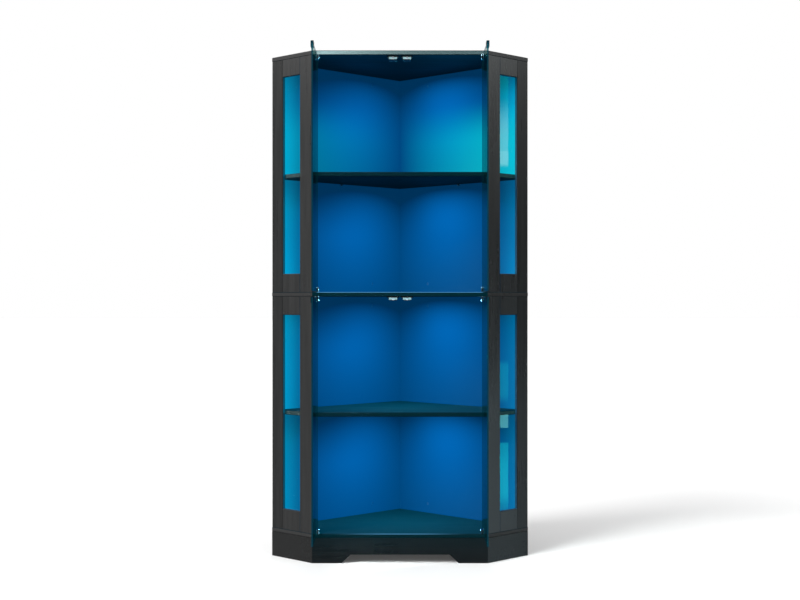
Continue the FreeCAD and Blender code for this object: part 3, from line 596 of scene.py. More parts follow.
def clear_plastic(name, tint, roughness):
    """Clear moulded plastic, thin enough not to bend what is seen through it."""
    material, tree, shader, here = new_material(name)
    haze = placed(tree, "surface_haze", Vector=here, Scale=30.0)
    feed(tree, shader, {
        "Base Color": mixed(tree, haze["Clouds"] * 0.3, tint, darker(tint, 0.94)),
        "Roughness": haze["Clouds"] * 0.01 + roughness,
        "IOR": 1.0,
        "Transmission Weight": 1.0,
        "Coat Weight": 0.3,
        "Coat Roughness": roughness,
    })
    return material


def diffuser(name, tint, pitch):
    """Milky cover of a light strip, brighter over each of its diodes."""
    material, tree, shader, here = new_material(name)
    beat = (parts(tree, here)[2] * (2 * math.pi / pitch)).by("COSINE") * 0.5 + 0.5
    haze = placed(tree, "surface_haze", Vector=here, Scale=30.0)
    feed(tree, shader, {
        "Base Color": mixed(tree, haze["Clouds"], (0.55, 0.60, 0.62), (0.62, 0.66, 0.68)),
        "Roughness": haze["Clouds"] * 0.1 + 0.4,
        "Emission Color": scaled(tree, tint, beat * 2.2 + 0.9),
        "Emission Strength": 1.0,
    })
    return material


# Modelling

def only(*pieces):
    """Selects these objects and no others, with the first one active."""
    bpy.ops.object.select_all(action="DESELECT")
    for piece in pieces:
        piece.select_set(True)
    bpy.context.view_layer.objects.active = pieces[0]


def settle(piece):
    """Puts an object's place, turn and size into its mesh."""
    only(piece)
    bpy.ops.object.transform_apply(location=True, rotation=True, scale=True)
    return piece


def named(piece, name):
    """Names an object and its mesh."""
    piece.name = piece.data.name = name
    return piece


def moved(piece, location=(0, 0, 0), rotation=(0, 0, 0)):
    """Turns and moves a piece, and puts that into its mesh."""
    piece.rotation_euler = rotation
    piece.location = location
    return settle(piece)


@contextmanager
def shaping(piece):
    """Edit mode on one piece, with nothing in it selected."""
    only(piece)
    bpy.ops.object.mode_set(mode="EDIT")
    bpy.ops.mesh.select_all(action="DESELECT")
    yield
    bpy.ops.object.mode_set(mode="OBJECT")


def pick(piece, kind, test):
    """Selects, in edit mode, the faces or edges whose middle and direction pass a test."""
    bpy.ops.mesh.select_mode(type=kind)
    bpy.ops.mesh.select_all(action="DESELECT")
    mesh = bmesh.from_edit_mesh(piece.data)
    if kind == "FACE":
        for face in mesh.faces:
            face.select_set(bool(test(face.calc_center_median(), face.normal)))
    else:
        for edge in mesh.edges:
            start, end = (vertex.co for vertex in edge.verts)
            edge.select_set(bool(test((start + end) / 2, (end - start).normalized())))
    bmesh.update_edit_mesh(piece.data)


def extrude(*step):
    """Extrudes what is selected in edit mode."""
    bpy.ops.mesh.extrude_region_move(TRANSFORM_OT_translate={"value": step})


def block(name, low, high):
    """A box between two corners, ready to be shaped."""
    low, high = Vector(low), Vector(high)
    bpy.ops.object.select_all(action="DESELECT")
    bpy.ops.mesh.primitive_cube_add(size=1, location=(low + high) / 2)
    piece = named(bpy.context.active_object, name)
    piece.scale = high - low
    return settle(piece)


def turned(name, profile, sides=32):
    """A round part on the z axis: each pair of its profile is a radius and a height."""
    radius, height = profile[0]
    bpy.ops.object.select_all(action="DESELECT")
    bpy.ops.mesh.primitive_circle_add(
        vertices=sides, radius=radius, fill_type="NGON", location=(0, 0, height)
    )
    piece = named(settle(bpy.context.active_object), name)
    with shaping(piece):
        bpy.ops.mesh.select_mode(type="FACE")
        bpy.ops.mesh.select_all(action="SELECT")
        for next_radius, next_height in profile[1:]:
            extrude(0, 0, next_height - height)
            growth = next_radius / radius
            bpy.ops.transform.resize(value=(growth, growth, 1), center_override=(0, 0, next_height))
            radius, height = next_radius, next_height
        bpy.ops.mesh.select_all(action="SELECT")
        bpy.ops.mesh.normals_make_consistent(inside=False)
    return piece


def bevel_edges(piece, width, segments, axis, test=lambda middle: True):
    """Rounds the edges that run along an axis and whose middle passes a test."""
    with shaping(piece):
        pick(piece, "EDGE", lambda middle, way: abs(way[axis]) > ALIGNED and test(middle))
        bpy.ops.mesh.bevel(offset=width, segments=segments, affect="EDGES")


def apply_modifier(piece, kind, **settings):
    """Adds a modifier, sets it and applies it."""
    modifier = piece.modifiers.new(kind.lower(), kind)
    for key, value in settings.items():
        setattr(modifier, key, value)
    only(piece)
    bpy.ops.object.modifier_apply(modifier=modifier.name)


def soften(piece, width, segments=2, degrees=40):
    """Rounds every sharp edge of a piece."""
    sharp = math.radians(degrees)
    apply_modifier(piece, "BEVEL", width=width, segments=segments, limit_method="ANGLE", angle_limit=sharp)
    return piece


def cut(piece, *tools):
    """Cuts tool forms out of a piece."""
    for tool in tools:
        apply_modifier(piece, "BOOLEAN", operation="DIFFERENCE", object=tool, solver="EXACT")
        bpy.data.objects.remove(tool)


def drill(piece, radius, low, high, location=(0, 0, 0), rotation=(0, 0, 0), sides=32):
    """Cuts a round hole out of a piece. Low and high are its ends on the z axis, before it is placed."""
    cut(piece, moved(turned("bore", [(radius, low), (radius, high)], sides), location, rotation))


def cross_recess(piece, long, narrow, depth):
    """Cuts a cross into the top of a screw or a disc whose face is at the origin."""
    for wide, deep in ((long, narrow), (narrow, long)):
        cut(piece, block("cross", (-wide / 2, -deep / 2, -depth), (wide / 2, deep / 2, 0.001)))


def add_finishes(piece, *materials):
    """Adds the materials that a piece doesn't have yet."""
    for material in materials:
        if material.name not in piece.data.materials:
            piece.data.materials.append(material)


def paint(piece, index, test):
    """Gives the faces that pass a test another of the piece's materials."""
    with shaping(piece):
        pick(piece, "FACE", test)
        piece.active_material_index = index
        bpy.ops.object.material_slot_assign()


def joined(name, *pieces):
    """Several parts as one piece."""
    only(*pieces)
    if len(pieces) > 1:
        bpy.ops.object.join()
    return named(bpy.context.active_object, name)


def copies(name, master, places):
    """Copies of a finished form, one at each location and rotation, as one piece."""
    made = []
    for location, rotation in places:
        twin = master.copy()
        twin.data = master.data.copy()
        bpy.context.scene.collection.objects.link(twin)
        made.append(moved(twin, location, rotation))
    return joined(name, *made)


def done_with(*masters):
    """Removes the forms that were only there to be copied."""
    for master in masters:
        bpy.data.objects.remove(master)


def deliver(piece, slot, body, nodes, *materials, smooth=30):
    """Closes and smooths a finished piece, gives it its materials, and sets it on its body."""
    add_finishes(piece, *materials)
    with shaping(piece):
        bpy.ops.mesh.select_all(action="SELECT")
        bpy.ops.mesh.remove_doubles(threshold=1e-6)
        bpy.ops.mesh.normals_make_consistent(inside=False)
    only(piece)
    bpy.ops.object.shade_smooth_by_angle(angle=math.radians(smooth))
    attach(piece, body)
    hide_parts(*nodes)


def deliver_copies(name, master, places, slot, node, *materials):
    """Delivers copies of a form as one piece of the carcass, in place of a CAD node."""
    deliver(copies(name, master, places), slot, "root", [node], *materials)
    done_with(master)


def deliver_pane(pane, slot, body, node, finish):
    """Delivers a piece of glass, which throws no shadow."""
    deliver(pane, slot, body, [node], finish, smooth=20)
    pane.visible_shadow = False


def loose_parts(node):
    """The lowest and highest corners and the middle of each separate solid of a CAD node."""
    mesh = bmesh.new()
    mesh.from_mesh(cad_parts[node].data)
    bmesh.ops.remove_doubles(mesh, verts=mesh.verts, dist=1e-6)
    seen, found = set(), []
    for first in mesh.verts:
        if first in seen:
            continue
        seen.add(first)
        waiting, points = [first], []
        while waiting:
            vertex = waiting.pop()
            points.append(vertex.co)
            for other in (edge.other_vert(vertex) for edge in vertex.link_edges):
                if other not in seen:
                    seen.add(other)
                    waiting.append(other)
        low, high = Vector(map(min, zip(*points))), Vector(map(max, zip(*points)))
        found.append((low, high, (low + high) / 2))
    mesh.free()
    return sorted(found, key=lambda corners: tuple(round(part, 4) for part in reversed(corners[0])))


def inward(point):
    """The level direction into the cabinet from the nearest wall: a side frame or a back panel."""
    return Vector((-math.copysign(DIAGONAL, point.x), DIAGONAL if point.y < 0.03 else -DIAGONAL, 0))


def aimed(direction):
    """The rotation that turns the z axis to a direction."""
    return Vector(direction).to_track_quat("Z", "Y").to_euler()


def on_walls(node, offset):
    """Places for parts that stand in or on the walls, moved inwards from the middles of a node's solids."""
    places = []
    for _, _, middle in loose_parts(node):
        way = inward(middle)
        places.append((middle + way * offset, aimed(way)))
    return places


def put_finish(material, *nodes):
    """Gives CAD nodes a material."""
    for name in nodes:
        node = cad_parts[name]
        if node.material_slots:
            node.material_slots[0].material = material
        else:
            node.data.materials.append(material)


def each(pattern):
    """A CAD node's name for every storey and side."""
    return [(pattern.format(storey=storey, side=side), storey, side) for storey in STOREYS for side in SIDES]


def meshes(scene):
    """The CAD nodes, the finished pieces and what is on the stage."""
    return [piece for piece in scene.objects if piece.type == "MESH"]


def gathered(name, pieces):
    """A collection of pieces, for a light that shines on nothing else."""
    collection = bpy.data.collections.new(name)
    for piece in pieces:
        collection.objects.link(piece)
    return collection


def hang(scene, name, kind, location, rotation, receivers, **settings):
    """A light that shines on its receivers only, and isn't seen itself."""
    light = bpy.data.lights.new(name, kind)
    for key, value in settings.items():
        setattr(light, key, value)
    holder = bpy.data.objects.new(name, light)
    holder.location, holder.rotation_euler = location, rotation
    holder.visible_camera = False
    holder.light_linking.receiver_collection = receivers
    scene.collection.objects.link(holder)

# Operators

class CabinetOperator:
    """What the cabinet's operators share."""

    bl_options = {"REGISTER", "UNDO"}


class CABINET_OT_carcass(CabinetOperator, bpy.types.Operator):
    """Finish the boards, shelves, frames, back panels and plinth in black laminate"""

    bl_idname = "cabinet.carcass"
    bl_label = "Carcass finishes"

    def execute(self, context):
        boards = context.scene.cabinet_boards
        grain_group()
        edge_group()
        haze_group()
        glow_group(context.scene.cabinet_light)
        level = {"along": "x", "tint": (0, 0.35, 0.175), "boards": boards, "daylight": 0.2}
        upright = {"along": "z", "tint": (0, 0.22, 0.22), "boards": boards, "daylight": 0.2}
        # Slanted end faces of these boards are painted paler, as painted light
        top = laminate("top_laminate", **level, spill=1, specular=0.2, smoother=0.1, figure=0.6, ends=1)
        case = laminate("case_laminate", **level, spill=1, rim=1, specular=0.1, figure=0.6, ends=1)
        shelf = laminate("shelf_laminate", **level, spill=0.8, specular=0.1, ends=1.6, lit_ends=0.5)
        stile = laminate("frame_laminate", **upright)
        rear = laminate("rear_frame_laminate", **upright, specular=0.3)
        panel = laminate("back_laminate", "z", (1, 1, 1), boards, specular=0.06)
        plinth = laminate("plinth_laminate", "x", (0, 0, 0), boards, spill=0.45, specular=0.3, figure=0.3)
        put_finish(top, "top_board")
        put_finish(case, "bottom_board", "middle_board")
        put_finish(shelf, "lower_shelf", "upper_shelf")
        for start, _, _ in each("{storey}_{side}_"):
            put_finish(stile, start + "front_stile", start + "bottom_rail", start + "top_rail")
            put_finish(rear, start + "rear_stile")
            put_finish(panel, start + "back_panel")
        put_finish(plinth, "front_plinth")
        for side in SIDES:
            put_finish(plinth, f"{side}_side_plinth", f"{side}_rear_plinth")
        return {"FINISHED"}


class CABINET_OT_door_glass(CabinetOperator, bpy.types.Operator):
    """Make the four frameless door leaves, with ground edges and rounded corners"""

    bl_idname = "cabinet.door_glass"
    bl_label = "Door glass"

    def execute(self, context):
        panes = context.scene.cabinet_glass
        finish = glass("door_glass", panes.clear, panes, (1, 0, 0), panes.door_sheen)
        for node, storey, side in each("{storey}_{side}_door_glass"):
            leaf = block(f"{storey}_{side}_door_leaf", *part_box(node))
            bevel_edges(leaf, panes.corner, 3, X)
            soften(leaf, panes.arris, 1, 50)
            deliver_pane(leaf, "door_glass", f"{storey}_{side}_door", node, finish)
        return {"FINISHED"}


class CABINET_OT_side_glass(CabinetOperator, bpy.types.Operator):
    """Make the four panes of the side windows"""

    bl_idname = "cabinet.side_glass"
    bl_label = "Side glass"

    def execute(self, context):
        panes = context.scene.cabinet_glass
        finishes = {}
        for side, sign in SIDES.items():
            tilt = (-sign * DIAGONAL, DIAGONAL, 0)
            finishes[side] = glass(f"{side}_side_glass", panes.side, panes, tilt, panes.side_sheen)
        for node, storey, side in each("{storey}_{side}_side_glass"):
            low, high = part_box(node)
            width = (high.x - low.x) / DIAGONAL - 2 * GLASS_HALF
            half = Vector((width / 2, GLASS_HALF, (high.z - low.z) / 2))
            pane = block(f"{storey}_{side}_side_pane", -half, half)
            soften(pane, panes.arris, 1, 50)
            moved(pane, (low + high) / 2, (0, 0, SIDES[side] * EIGHTH_TURN))
            deliver_pane(pane, "side_glass", "root", node, finishes[side])
        return {"FINISHED"}


class CABINET_OT_hinge_clamps(CabinetOperator, bpy.types.Operator):
    """Make the pivot clamps at the top and bottom of every door leaf"""

    bl_idname = "cabinet.hinge_clamps"
    bl_label = "Hinge clamps"

    half: length("Half thickness", "Middle of the glass to the outside of a clamp", 0.0065)
    reach: length("Reach", "Pivot to the inner end of a clamp", 0.024)
    lap: length("Lap", "How far a clamp laps over the glass", 0.014)
    web: length("Web", "Metal across the edge of the glass", 0.0018)
    pin: length("Pin", "Length of the pivot pin above the web", 0.0072)
    pin_radius: length("Pin radius", "Radius of the pivot pin", 0.003)
    overrun: length("Overrun", "Glass beyond the pivot", 0.0045)
    corner: length("Corner", "Radius of the upright corners at the inner end", 0.0012)
    grub: length("Screw radius", "Radius of a grub screw", 0.0026)
    grub_inset: length("Screw inset", "Inner end of a clamp to its first grub screw", 0.0065)
    grub_pitch: length("Screw spacing", "Distance between the two grub screws", 0.010)
    grub_height: length("Screw height", "Foot of a clamp to its grub screws", 0.0055)

    def clamp(self, fittings, cheek):
        """A clamp with its pivot on the z axis and the glass edge's web at the top.

        Cheek is the side that carries the grub screws: 1 or -1 along the x axis.
        """
        foot = -(self.lap + self.web)
        clamp = block("clamp", (-self.half, -self.reach, foot), (self.half, self.half, 0))
        bevel_edges(clamp, self.half * 0.999, 10, Z, lambda middle: middle.y > 0)
        bevel_edges(clamp, self.corner, 3, Z, lambda middle: middle.y < 0)
        slot_low = (-SLOT_HALF, -self.reach - PAST, foot - PAST)
        cut(clamp, block("slot", slot_low, (SLOT_HALF, self.overrun + 0.0002, -self.web)))
        soften(clamp, fittings.round)
        radius, end = self.pin_radius, self.pin
        profile = [(radius, -0.0005), (radius, end - 0.0005), (radius - 0.0006, end)]
        pin = turned("pin", profile, fittings.sides)
        rim, recess, top = self.grub, 0.0014, 0.0006
        profile = [(rim, 0), (rim, top - 0.0002), (rim - 0.0003, top), (recess, top), (recess, -0.0004)]
        screws = []
        for step in range(2):
            y = -self.reach + self.grub_inset + step * self.grub_pitch
            place = (cheek * self.half, y, foot + self.grub_height)
            screws.append(moved(turned("grub", profile, 24), place, (0, cheek * QUARTER_TURN, 0)))
        return joined("clamp", clamp, pin, *screws)

    def execute(self, context):
        fittings = context.scene.cabinet_fittings
        # Its teal tint is a painted reflection of the lit bays
        chrome = metal("polished_chrome", fittings.chrome, roughness=0.10, brushed=0.06)
        masters = {cheek: self.clamp(fittings, cheek) for cheek in (-1, 1)}
        for node, storey, side in each("{storey}_{side}_door_hinges"):
            x = SIDES[side] * PIVOT_X
            low, high = DOOR_ENDS[storey]
            inner = -SIDES[side]
            top = copies("top", masters[inner], [((x, PIVOT_Y, high + self.web), (0, 0, 0))])
            foot = copies("foot", masters[-inner], [((x, PIVOT_Y, low - self.web), (0, HALF_TURN, 0))])
            piece = joined(f"{storey}_{side}_hinge_clamps", top, foot)
            deliver(piece, "polished_fitting", f"{storey}_{side}_door", [node], chrome)
        done_with(*masters.values())
        return {"FINISHED"}


class CABINET_OT_strikers(CabinetOperator, bpy.types.Operator):
    """Make the folded striker clips on the free top corners of the doors"""

    bl_idname = "cabinet.strikers"
    bl_label = "Strikers"

    half: length("Half thickness", "Middle of the glass to the outside of a striker", 0.005)
    span: length("Length", "Striker along the top edge of the glass", 0.036)
    lap: length("Lap", "How far a striker laps down the glass", 0.018)
    web: length("Web", "Metal over the top edge of the glass", 0.0018)
    corner: length("Corner", "Radius of the lower corners", 0.003)
    fold: length("Fold", "Radius of the fold over the glass", 0.0014)
    pad: length("Pad", "Radius of the pad on each cheek", 0.0052)
    pad_drop: length("Pad drop", "Top of a striker to the middle of its pads", 0.0085)

    def striker(self, fittings):
        """A striker centred on the z axis, with the top of its fold at the origin."""
        low = -(self.lap + self.web)
        clip = block("striker", (-self.half, -self.span / 2, low), (self.half, self.span / 2, 0))
        bevel_edges(clip, self.corner, 6, X, lambda middle: middle.z < low / 2)
        bevel_edges(clip, self.fold, 4, Y, lambda middle: middle.z > -0.001)
        cut(clip, block("slot", (-SLOT_HALF, -self.span, low - PAST), (SLOT_HALF, self.span, -self.web)))
        soften(clip, fittings.round * 0.8)
        pads = []
        for sign in (-1, 1):
            pad = turned("pad", [(self.pad, 0), (self.pad, 0.00012), (self.pad - 0.0003, 0.00022)])
            pads.append(moved(pad, (sign * self.half, 0, -self.pad_drop), (0, sign * QUARTER_TURN, 0)))
        return joined("striker", clip, *pads)

    def execute(self, context):
        fittings = context.scene.cabinet_fittings
        # The teal in the strikers' tint is a painted reflection of the lit bays
        smoked = metal("smoked_chrome", fittings.smoked, roughness=0.16, brushed=0.06)
        master = self.striker(fittings)
        for node, storey, side in each("{storey}_{side}_door_striker"):
            low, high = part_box(node)
            place = ((SIDES[side] * PIVOT_X, (low.y + high.y) / 2, high.z), (0, 0, 0))
            piece = copies(f"{storey}_{side}_striker_clip", master, [place])
            deliver(piece, "polished_fitting", f"{storey}_{side}_door", [node], smoked)
        done_with(master)
        return {"FINISHED"}


class CABINET_OT_hinge_bushes(CabinetOperator, bpy.types.Operator):
    """Make the collared bushes in which the door pivots turn"""

    bl_idname = "cabinet.hinge_bushes"
    bl_label = "Hinge bushes"

    bore: length("Bore", "Radius of the hole for the pivot", 0.00306)
    bore_depth: length("Bore depth", "Depth of the hole for the pivot", 0.0061)

    def execute(self, context):
        fittings = context.scene.cabinet_fittings
        black = plastic("bush_plastic", fittings.black, roughness=0.38)
        profile = [
            (0.0031, 0.0), (0.0062, 0.0), (0.0065, 0.0002), (0.0065, 0.0007),
            (0.0050, 0.0007), (0.0050, 0.0068), (0.0047, 0.0072), (0.0031, 0.0072),
        ]
        master = turned("bush", profile, fittings.sides)
        drill(master, self.bore, -0.001, self.bore_depth, sides=fittings.sides)
        places = []
        for low, high, middle in loose_parts("hinge_bushes"):
            storeys = (middle.z - BOTTOM_BOARD_MIDDLE) / STOREY_PITCH
            below = storeys < round(storeys)
            place = (middle.x, middle.y, low.z if below else high.z)
            places.append((place, (0, 0 if below else HALF_TURN, 0)))
        deliver_copies("door_pivot_bushes", master, places, "bush_plastic", "hinge_bushes", black)
        return {"FINISHED"}


class CABINET_OT_touch_latches(CabinetOperator, bpy.types.Operator):
    """Make the four push latches under the middle and top boards"""

    bl_idname = "cabinet.touch_latches"
    bl_label = "Touch latches"

    flange: box_size("Flange", "Width, depth and thickness of the flange", (0.042, 0.026, 0.003))
    housing: box_size("Housing", "Width, depth and height of the housing", (0.028, 0.048, 0.010))
    axis: length("Axis", "Board to the middle of the plunger", 0.008)
    bore: length("Bore", "Radius of the plunger's bore", 0.0032)
    bore_depth: length("Bore depth", "Depth of the plunger's bore", 0.034)
    rib_start: length("Rib start", "Front of the housing to its first rib", 0.028)
    rib_pitch: length("Rib spacing", "Distance between two ribs", 0.0045)
    rib_width: length("Rib width", "Width of a rib", 0.0018)

    def latch(self, black, pale):
        """A latch hung from the origin, with its front on the y axis's zero. Only the front is pale."""
        wide, deep, thick = self.flange
        flange = block("flange", (-wide / 2, 0, -thick), (wide / 2, deep, 0))
        bevel_edges(flange, 0.005, 6, Z)
        soften(flange, 0.0005)
        wide, deep, tall = self.housing
        side, bottom = wide / 2, -thick - tall
        body = block("housing", (-side, 0.0004, bottom), (side, deep, -thick + 0.0005))
        bevel_edges(body, 0.0035, 6, Y, lambda middle: middle.z < -thick - tall / 2)
        with shaping(body):
            pick(body, "EDGE", lambda middle, way: abs(way.y) < 0.5 and middle.y > deep - 0.0001)
            bpy.ops.mesh.bevel(offset=0.0015, segments=3, affect="EDGES")
        drill(body, self.bore, -0.002, self.bore_depth, (0, 0, -self.axis), (-QUARTER_TURN, 0, 0))
        for part in (flange, body):
            add_finishes(part, black, pale)
        paint(body, 1, lambda middle, normal: normal.y < -ALIGNED and middle.y < 0.001)
        collar = turned("collar", [(0.0042, 0), (0.0042, 0.0010), (0.0038, 0.0014)])
        drill(collar, self.bore, -0.001, 0.003)
        moved(collar, (0, 0.0012, -self.axis), (QUARTER_TURN, 0, 0))
        add_finishes(collar, pale)
        ribs = []
        for x in (-side, side):
            for step in range(4):
                y = self.rib_start + step * self.rib_pitch
                low = (x - 0.0005, y, bottom + 0.0035)
                rib = block("rib", low, (x + 0.0005, y + self.rib_width, -thick - 0.0008))
                add_finishes(rib, black)
                ribs.append(soften(rib, 0.0003, 1))
        return joined("latch", flange, body, collar, *ribs)

    def execute(self, context):
        fittings = context.scene.cabinet_fittings
        black = plastic("latch_case", fittings.black, roughness=0.35)
        # Pale latch fronts with a cyan cast that is partly painted lamp light, and painted shade above and
        # below a band
        pale = plastic("latch_plastic", fittings.latch, roughness=0.28, grain=0.08, band=(0.0040, 0.0106))
        master = self.latch(black, pale)
        places = []
        for ceiling in CEILINGS.values():
            places += [((sign * LATCH_X, LATCH_Y, ceiling), (0, 0, 0)) for sign in SIDES.values()]
        deliver_copies("push_latches", master, places, "latch_plastic", "touch_latches")
        return {"FINISHED"}


class CABINET_OT_latch_plungers(CabinetOperator, bpy.types.Operator):
    """Make the sprung plungers of the latches, with their magnet tips"""

    bl_idname = "cabinet.latch_plungers"
    bl_label = "Latch plungers"

    stem: length("Stem radius", "Radius of a plunger's stem", 0.0028)
    tip: length("Tip radius", "Radius of a plunger's tip", 0.0042)
    tip_length: length("Tip length", "Length of a plunger's tip", 0.003)
    whole: length("Length", "Whole length of a plunger", 0.033)

    def execute(self, context):
        fittings = context.scene.cabinet_fittings
        pale = bpy.data.materials["latch_plastic"]
        # The same teal-tinted metal, whose tint is a painted reflection of the lit bays
        steel = metal("magnet_steel", fittings.chrome, roughness=0.22, brushed=0.10)
        stem, tip, end = self.stem, self.tip, self.whole
        neck, magnet, recess = end - self.tip_length, tip - 0.0012, end - 0.0003
        profile = [
            (stem - 0.0004, 0), (stem, 0.0004), (stem, neck), (tip - 0.0003, neck), (tip, neck + 0.0003),
            (tip, end - 0.0005), (tip - 0.0005, end), (magnet, end), (magnet, recess),
        ]
        master = turned("plunger", profile, fittings.sides)
        add_finishes(master, pale, steel)
        paint(master, 1, lambda middle, _: middle.z > recess - 0.0001 and middle.xy.length < magnet + 0.0001)
        for node, storey, side in each("{storey}_{side}_latch_plunger"):
            low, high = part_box(node)
            place = ((SIDES[side] * LATCH_X, high.y, (low.z + high.z) / 2), (QUARTER_TURN, 0, 0))
            plunger = copies(f"{storey}_{side}_plunger", master, [place])
            deliver(plunger, "plunger_plastic", node, [node], pale, steel)
        done_with(master)
        return {"FINISHED"}


class CABINET_OT_pane_clips(CabinetOperator, bpy.types.Operator):
    """Make the turn clips that hold the side panes"""

    bl_idname = "cabinet.pane_clips"
    bl_label = "Pane clips"

    size: box_size("Size", "Length, width and thickness of a clip", (0.019, 0.012, 0.0025))
    rim: length("Rim", "Edge of a clip to its boss", 0.0012)

    def clip(self):
        """A clip lying on the origin, with its boss upwards."""
        long, wide, thick = self.size
        boss = thick * 0.2
        clip = block("clip", (-long / 2, -wide / 2, 0), (long / 2, wide / 2, thick - boss))
        bevel_edges(clip, wide * 0.42, 8, Z)
        with shaping(clip):
            pick(clip, "FACE", lambda middle, normal: normal.z > ALIGNED)
            bpy.ops.mesh.inset(thickness=self.rim)
            extrude(0, 0, boss)
        return soften(clip, 0.0003)

    def execute(self, context):
        clear = clear_plastic("clip_plastic", (0.90, 0.98, 0.99), roughness=0.02)
        places = []
        for _, _, middle in loose_parts("pane_clips"):
            way = inward(middle)
            turn = math.atan2(way.y, way.x) + QUARTER_TURN
            places.append((middle - way * self.size[2] / 2, (QUARTER_TURN, 0, turn)))
        deliver_copies("side_pane_clips", self.clip(), places, "clip_plastic", "pane_clips", clear)
        return {"FINISHED"}


class CABINET_OT_screws(CabinetOperator, bpy.types.Operator):
    """Make the cross-head screws of the clips and latches"""

    bl_idname = "cabinet.screws"
    bl_label = "Screws"

    head: length("Head radius", "Radius of a screw's head", 0.0034)
    head_height: length("Head height", "Height of a screw's head", 0.0018)
    shank: length("Shank radius", "Radius of a screw's shank", 0.0017)
    clip_screw: length("Clip screw", "Whole length of a clip's screw", 0.0143)
    latch_screw: length("Latch screw", "Whole length of a latch's screw", 0.0148)

    def screw(self, name, whole):
        """A screw with the top of its head at the origin and its shank downwards."""
        under = -self.head_height
        profile = [
            (0.0003, -whole), (self.shank, -whole + 0.0025), (self.shank, under), (self.head - 0.0001, under),
            (self.head, under + 0.0005), (self.head * 0.93, -0.0005), (self.head * 0.72, 0),
        ]
        screw = turned(name, profile, 24)
        cross_recess(screw, 0.0040, 0.00085, 0.0011)
        return screw

    def execute(self, context):
        zinc = metal("zinc_plate", context.scene.cabinet_fittings.zinc, roughness=0.30, brushed=0.16)
        short = self.screw("clip_screw", self.clip_screw)
        long = self.screw("latch_screw", self.latch_screw)
        slanted, upright = [], []
        for low, high, middle in loose_parts("small_screws"):
            if high.x - low.x < 0.008:
                upright.append(((middle.x, middle.y, low.z), (HALF_TURN, 0, 0)))
                continue
            way = inward(middle)
            corner = Vector((high.x if way.x > 0 else low.x, high.y if way.y > 0 else low.y, middle.z))
            back = Vector((math.copysign(1, way.x), math.copysign(1, way.y), 0)) * self.head * DIAGONAL
            slanted.append((corner - back, aimed(way)))
        sets = copies("clip_screws", short, slanted), copies("latch_screws", long, upright)
        screws = joined("cross_head_screws", *sets)
        deliver(screws, "zinc_steel", "root", ["small_screws"], zinc)
        done_with(short, long)
        return {"FINISHED"}


class CABINET_OT_shelf_pins(CabinetOperator, bpy.types.Operator):
    """Make the collared pins under the two shelves"""

    bl_idname = "cabinet.shelf_pins"
    bl_label = "Shelf pins"

    radius: length("Radius", "Radius of a pin", 0.0025)
    buried: length("Buried", "Part of a pin inside the wall", 0.008)
    whole: length("Length", "Whole length of a pin", 0.017)
    collar: length("Collar", "Width of the rim that rests on the wall", 0.0014)

    def execute(self, context):
        zinc = bpy.data.materials["zinc_plate"]
        radius, rim, wall, end = self.radius, self.radius + self.collar, self.buried, self.whole
        profile = [
            (radius - 0.0003, 0), (radius, 0.0004), (radius, wall),
            (rim - 0.0002, wall), (rim, wall + 0.0002), (rim, wall + 0.0008), (rim - 0.0002, wall + 0.0010),
            (radius - 0.0001, wall + 0.0010), (radius - 0.0001, end - 0.0006), (radius - 0.0007, end),
        ]
        master = turned("shelf_pin", profile, 24)
        places = on_walls("shelf_pins", -end / 2)
        deliver_copies("collared_shelf_pins", master, places, "zinc_steel", "shelf_pins", zinc)
        return {"FINISHED"}


class CABINET_OT_cams(CabinetOperator, bpy.types.Operator):
    """Make the cam locks in the frames and panels, and finish their bolts"""

    bl_idname = "cabinet.cams"
    bl_label = "Cam locks"

    radius: length("Radius", "Radius of a cam disc", 0.006)
    depth: length("Depth", "Depth of a cam disc", 0.0095)

    def cam(self):
        """A cam disc sunk below the origin, with a cross recess in its face."""
        rim = self.radius - 0.0005
        profile = [
            (rim, -self.depth), (self.radius, -self.depth + 0.0004), (self.radius, -0.0004), (rim, 0),
            (rim - 0.0009, 0), (rim - 0.0012, -0.0004),
        ]
        disc = turned("cam", profile)
        cross_recess(disc, 0.0058, 0.0011, 0.0024)
        return disc

    def execute(self, context):
        cover = laminate("cam_cover", "z", (1, 1, 1), context.scene.cabinet_boards)
        places = on_walls("cam_discs", self.depth / 2)
        deliver_copies("cam_locks", self.cam(), places, "zinc_steel", "cam_discs", cover)
        put_finish(bpy.data.materials["zinc_plate"], "cam_bolts")
        return {"FINISHED"}


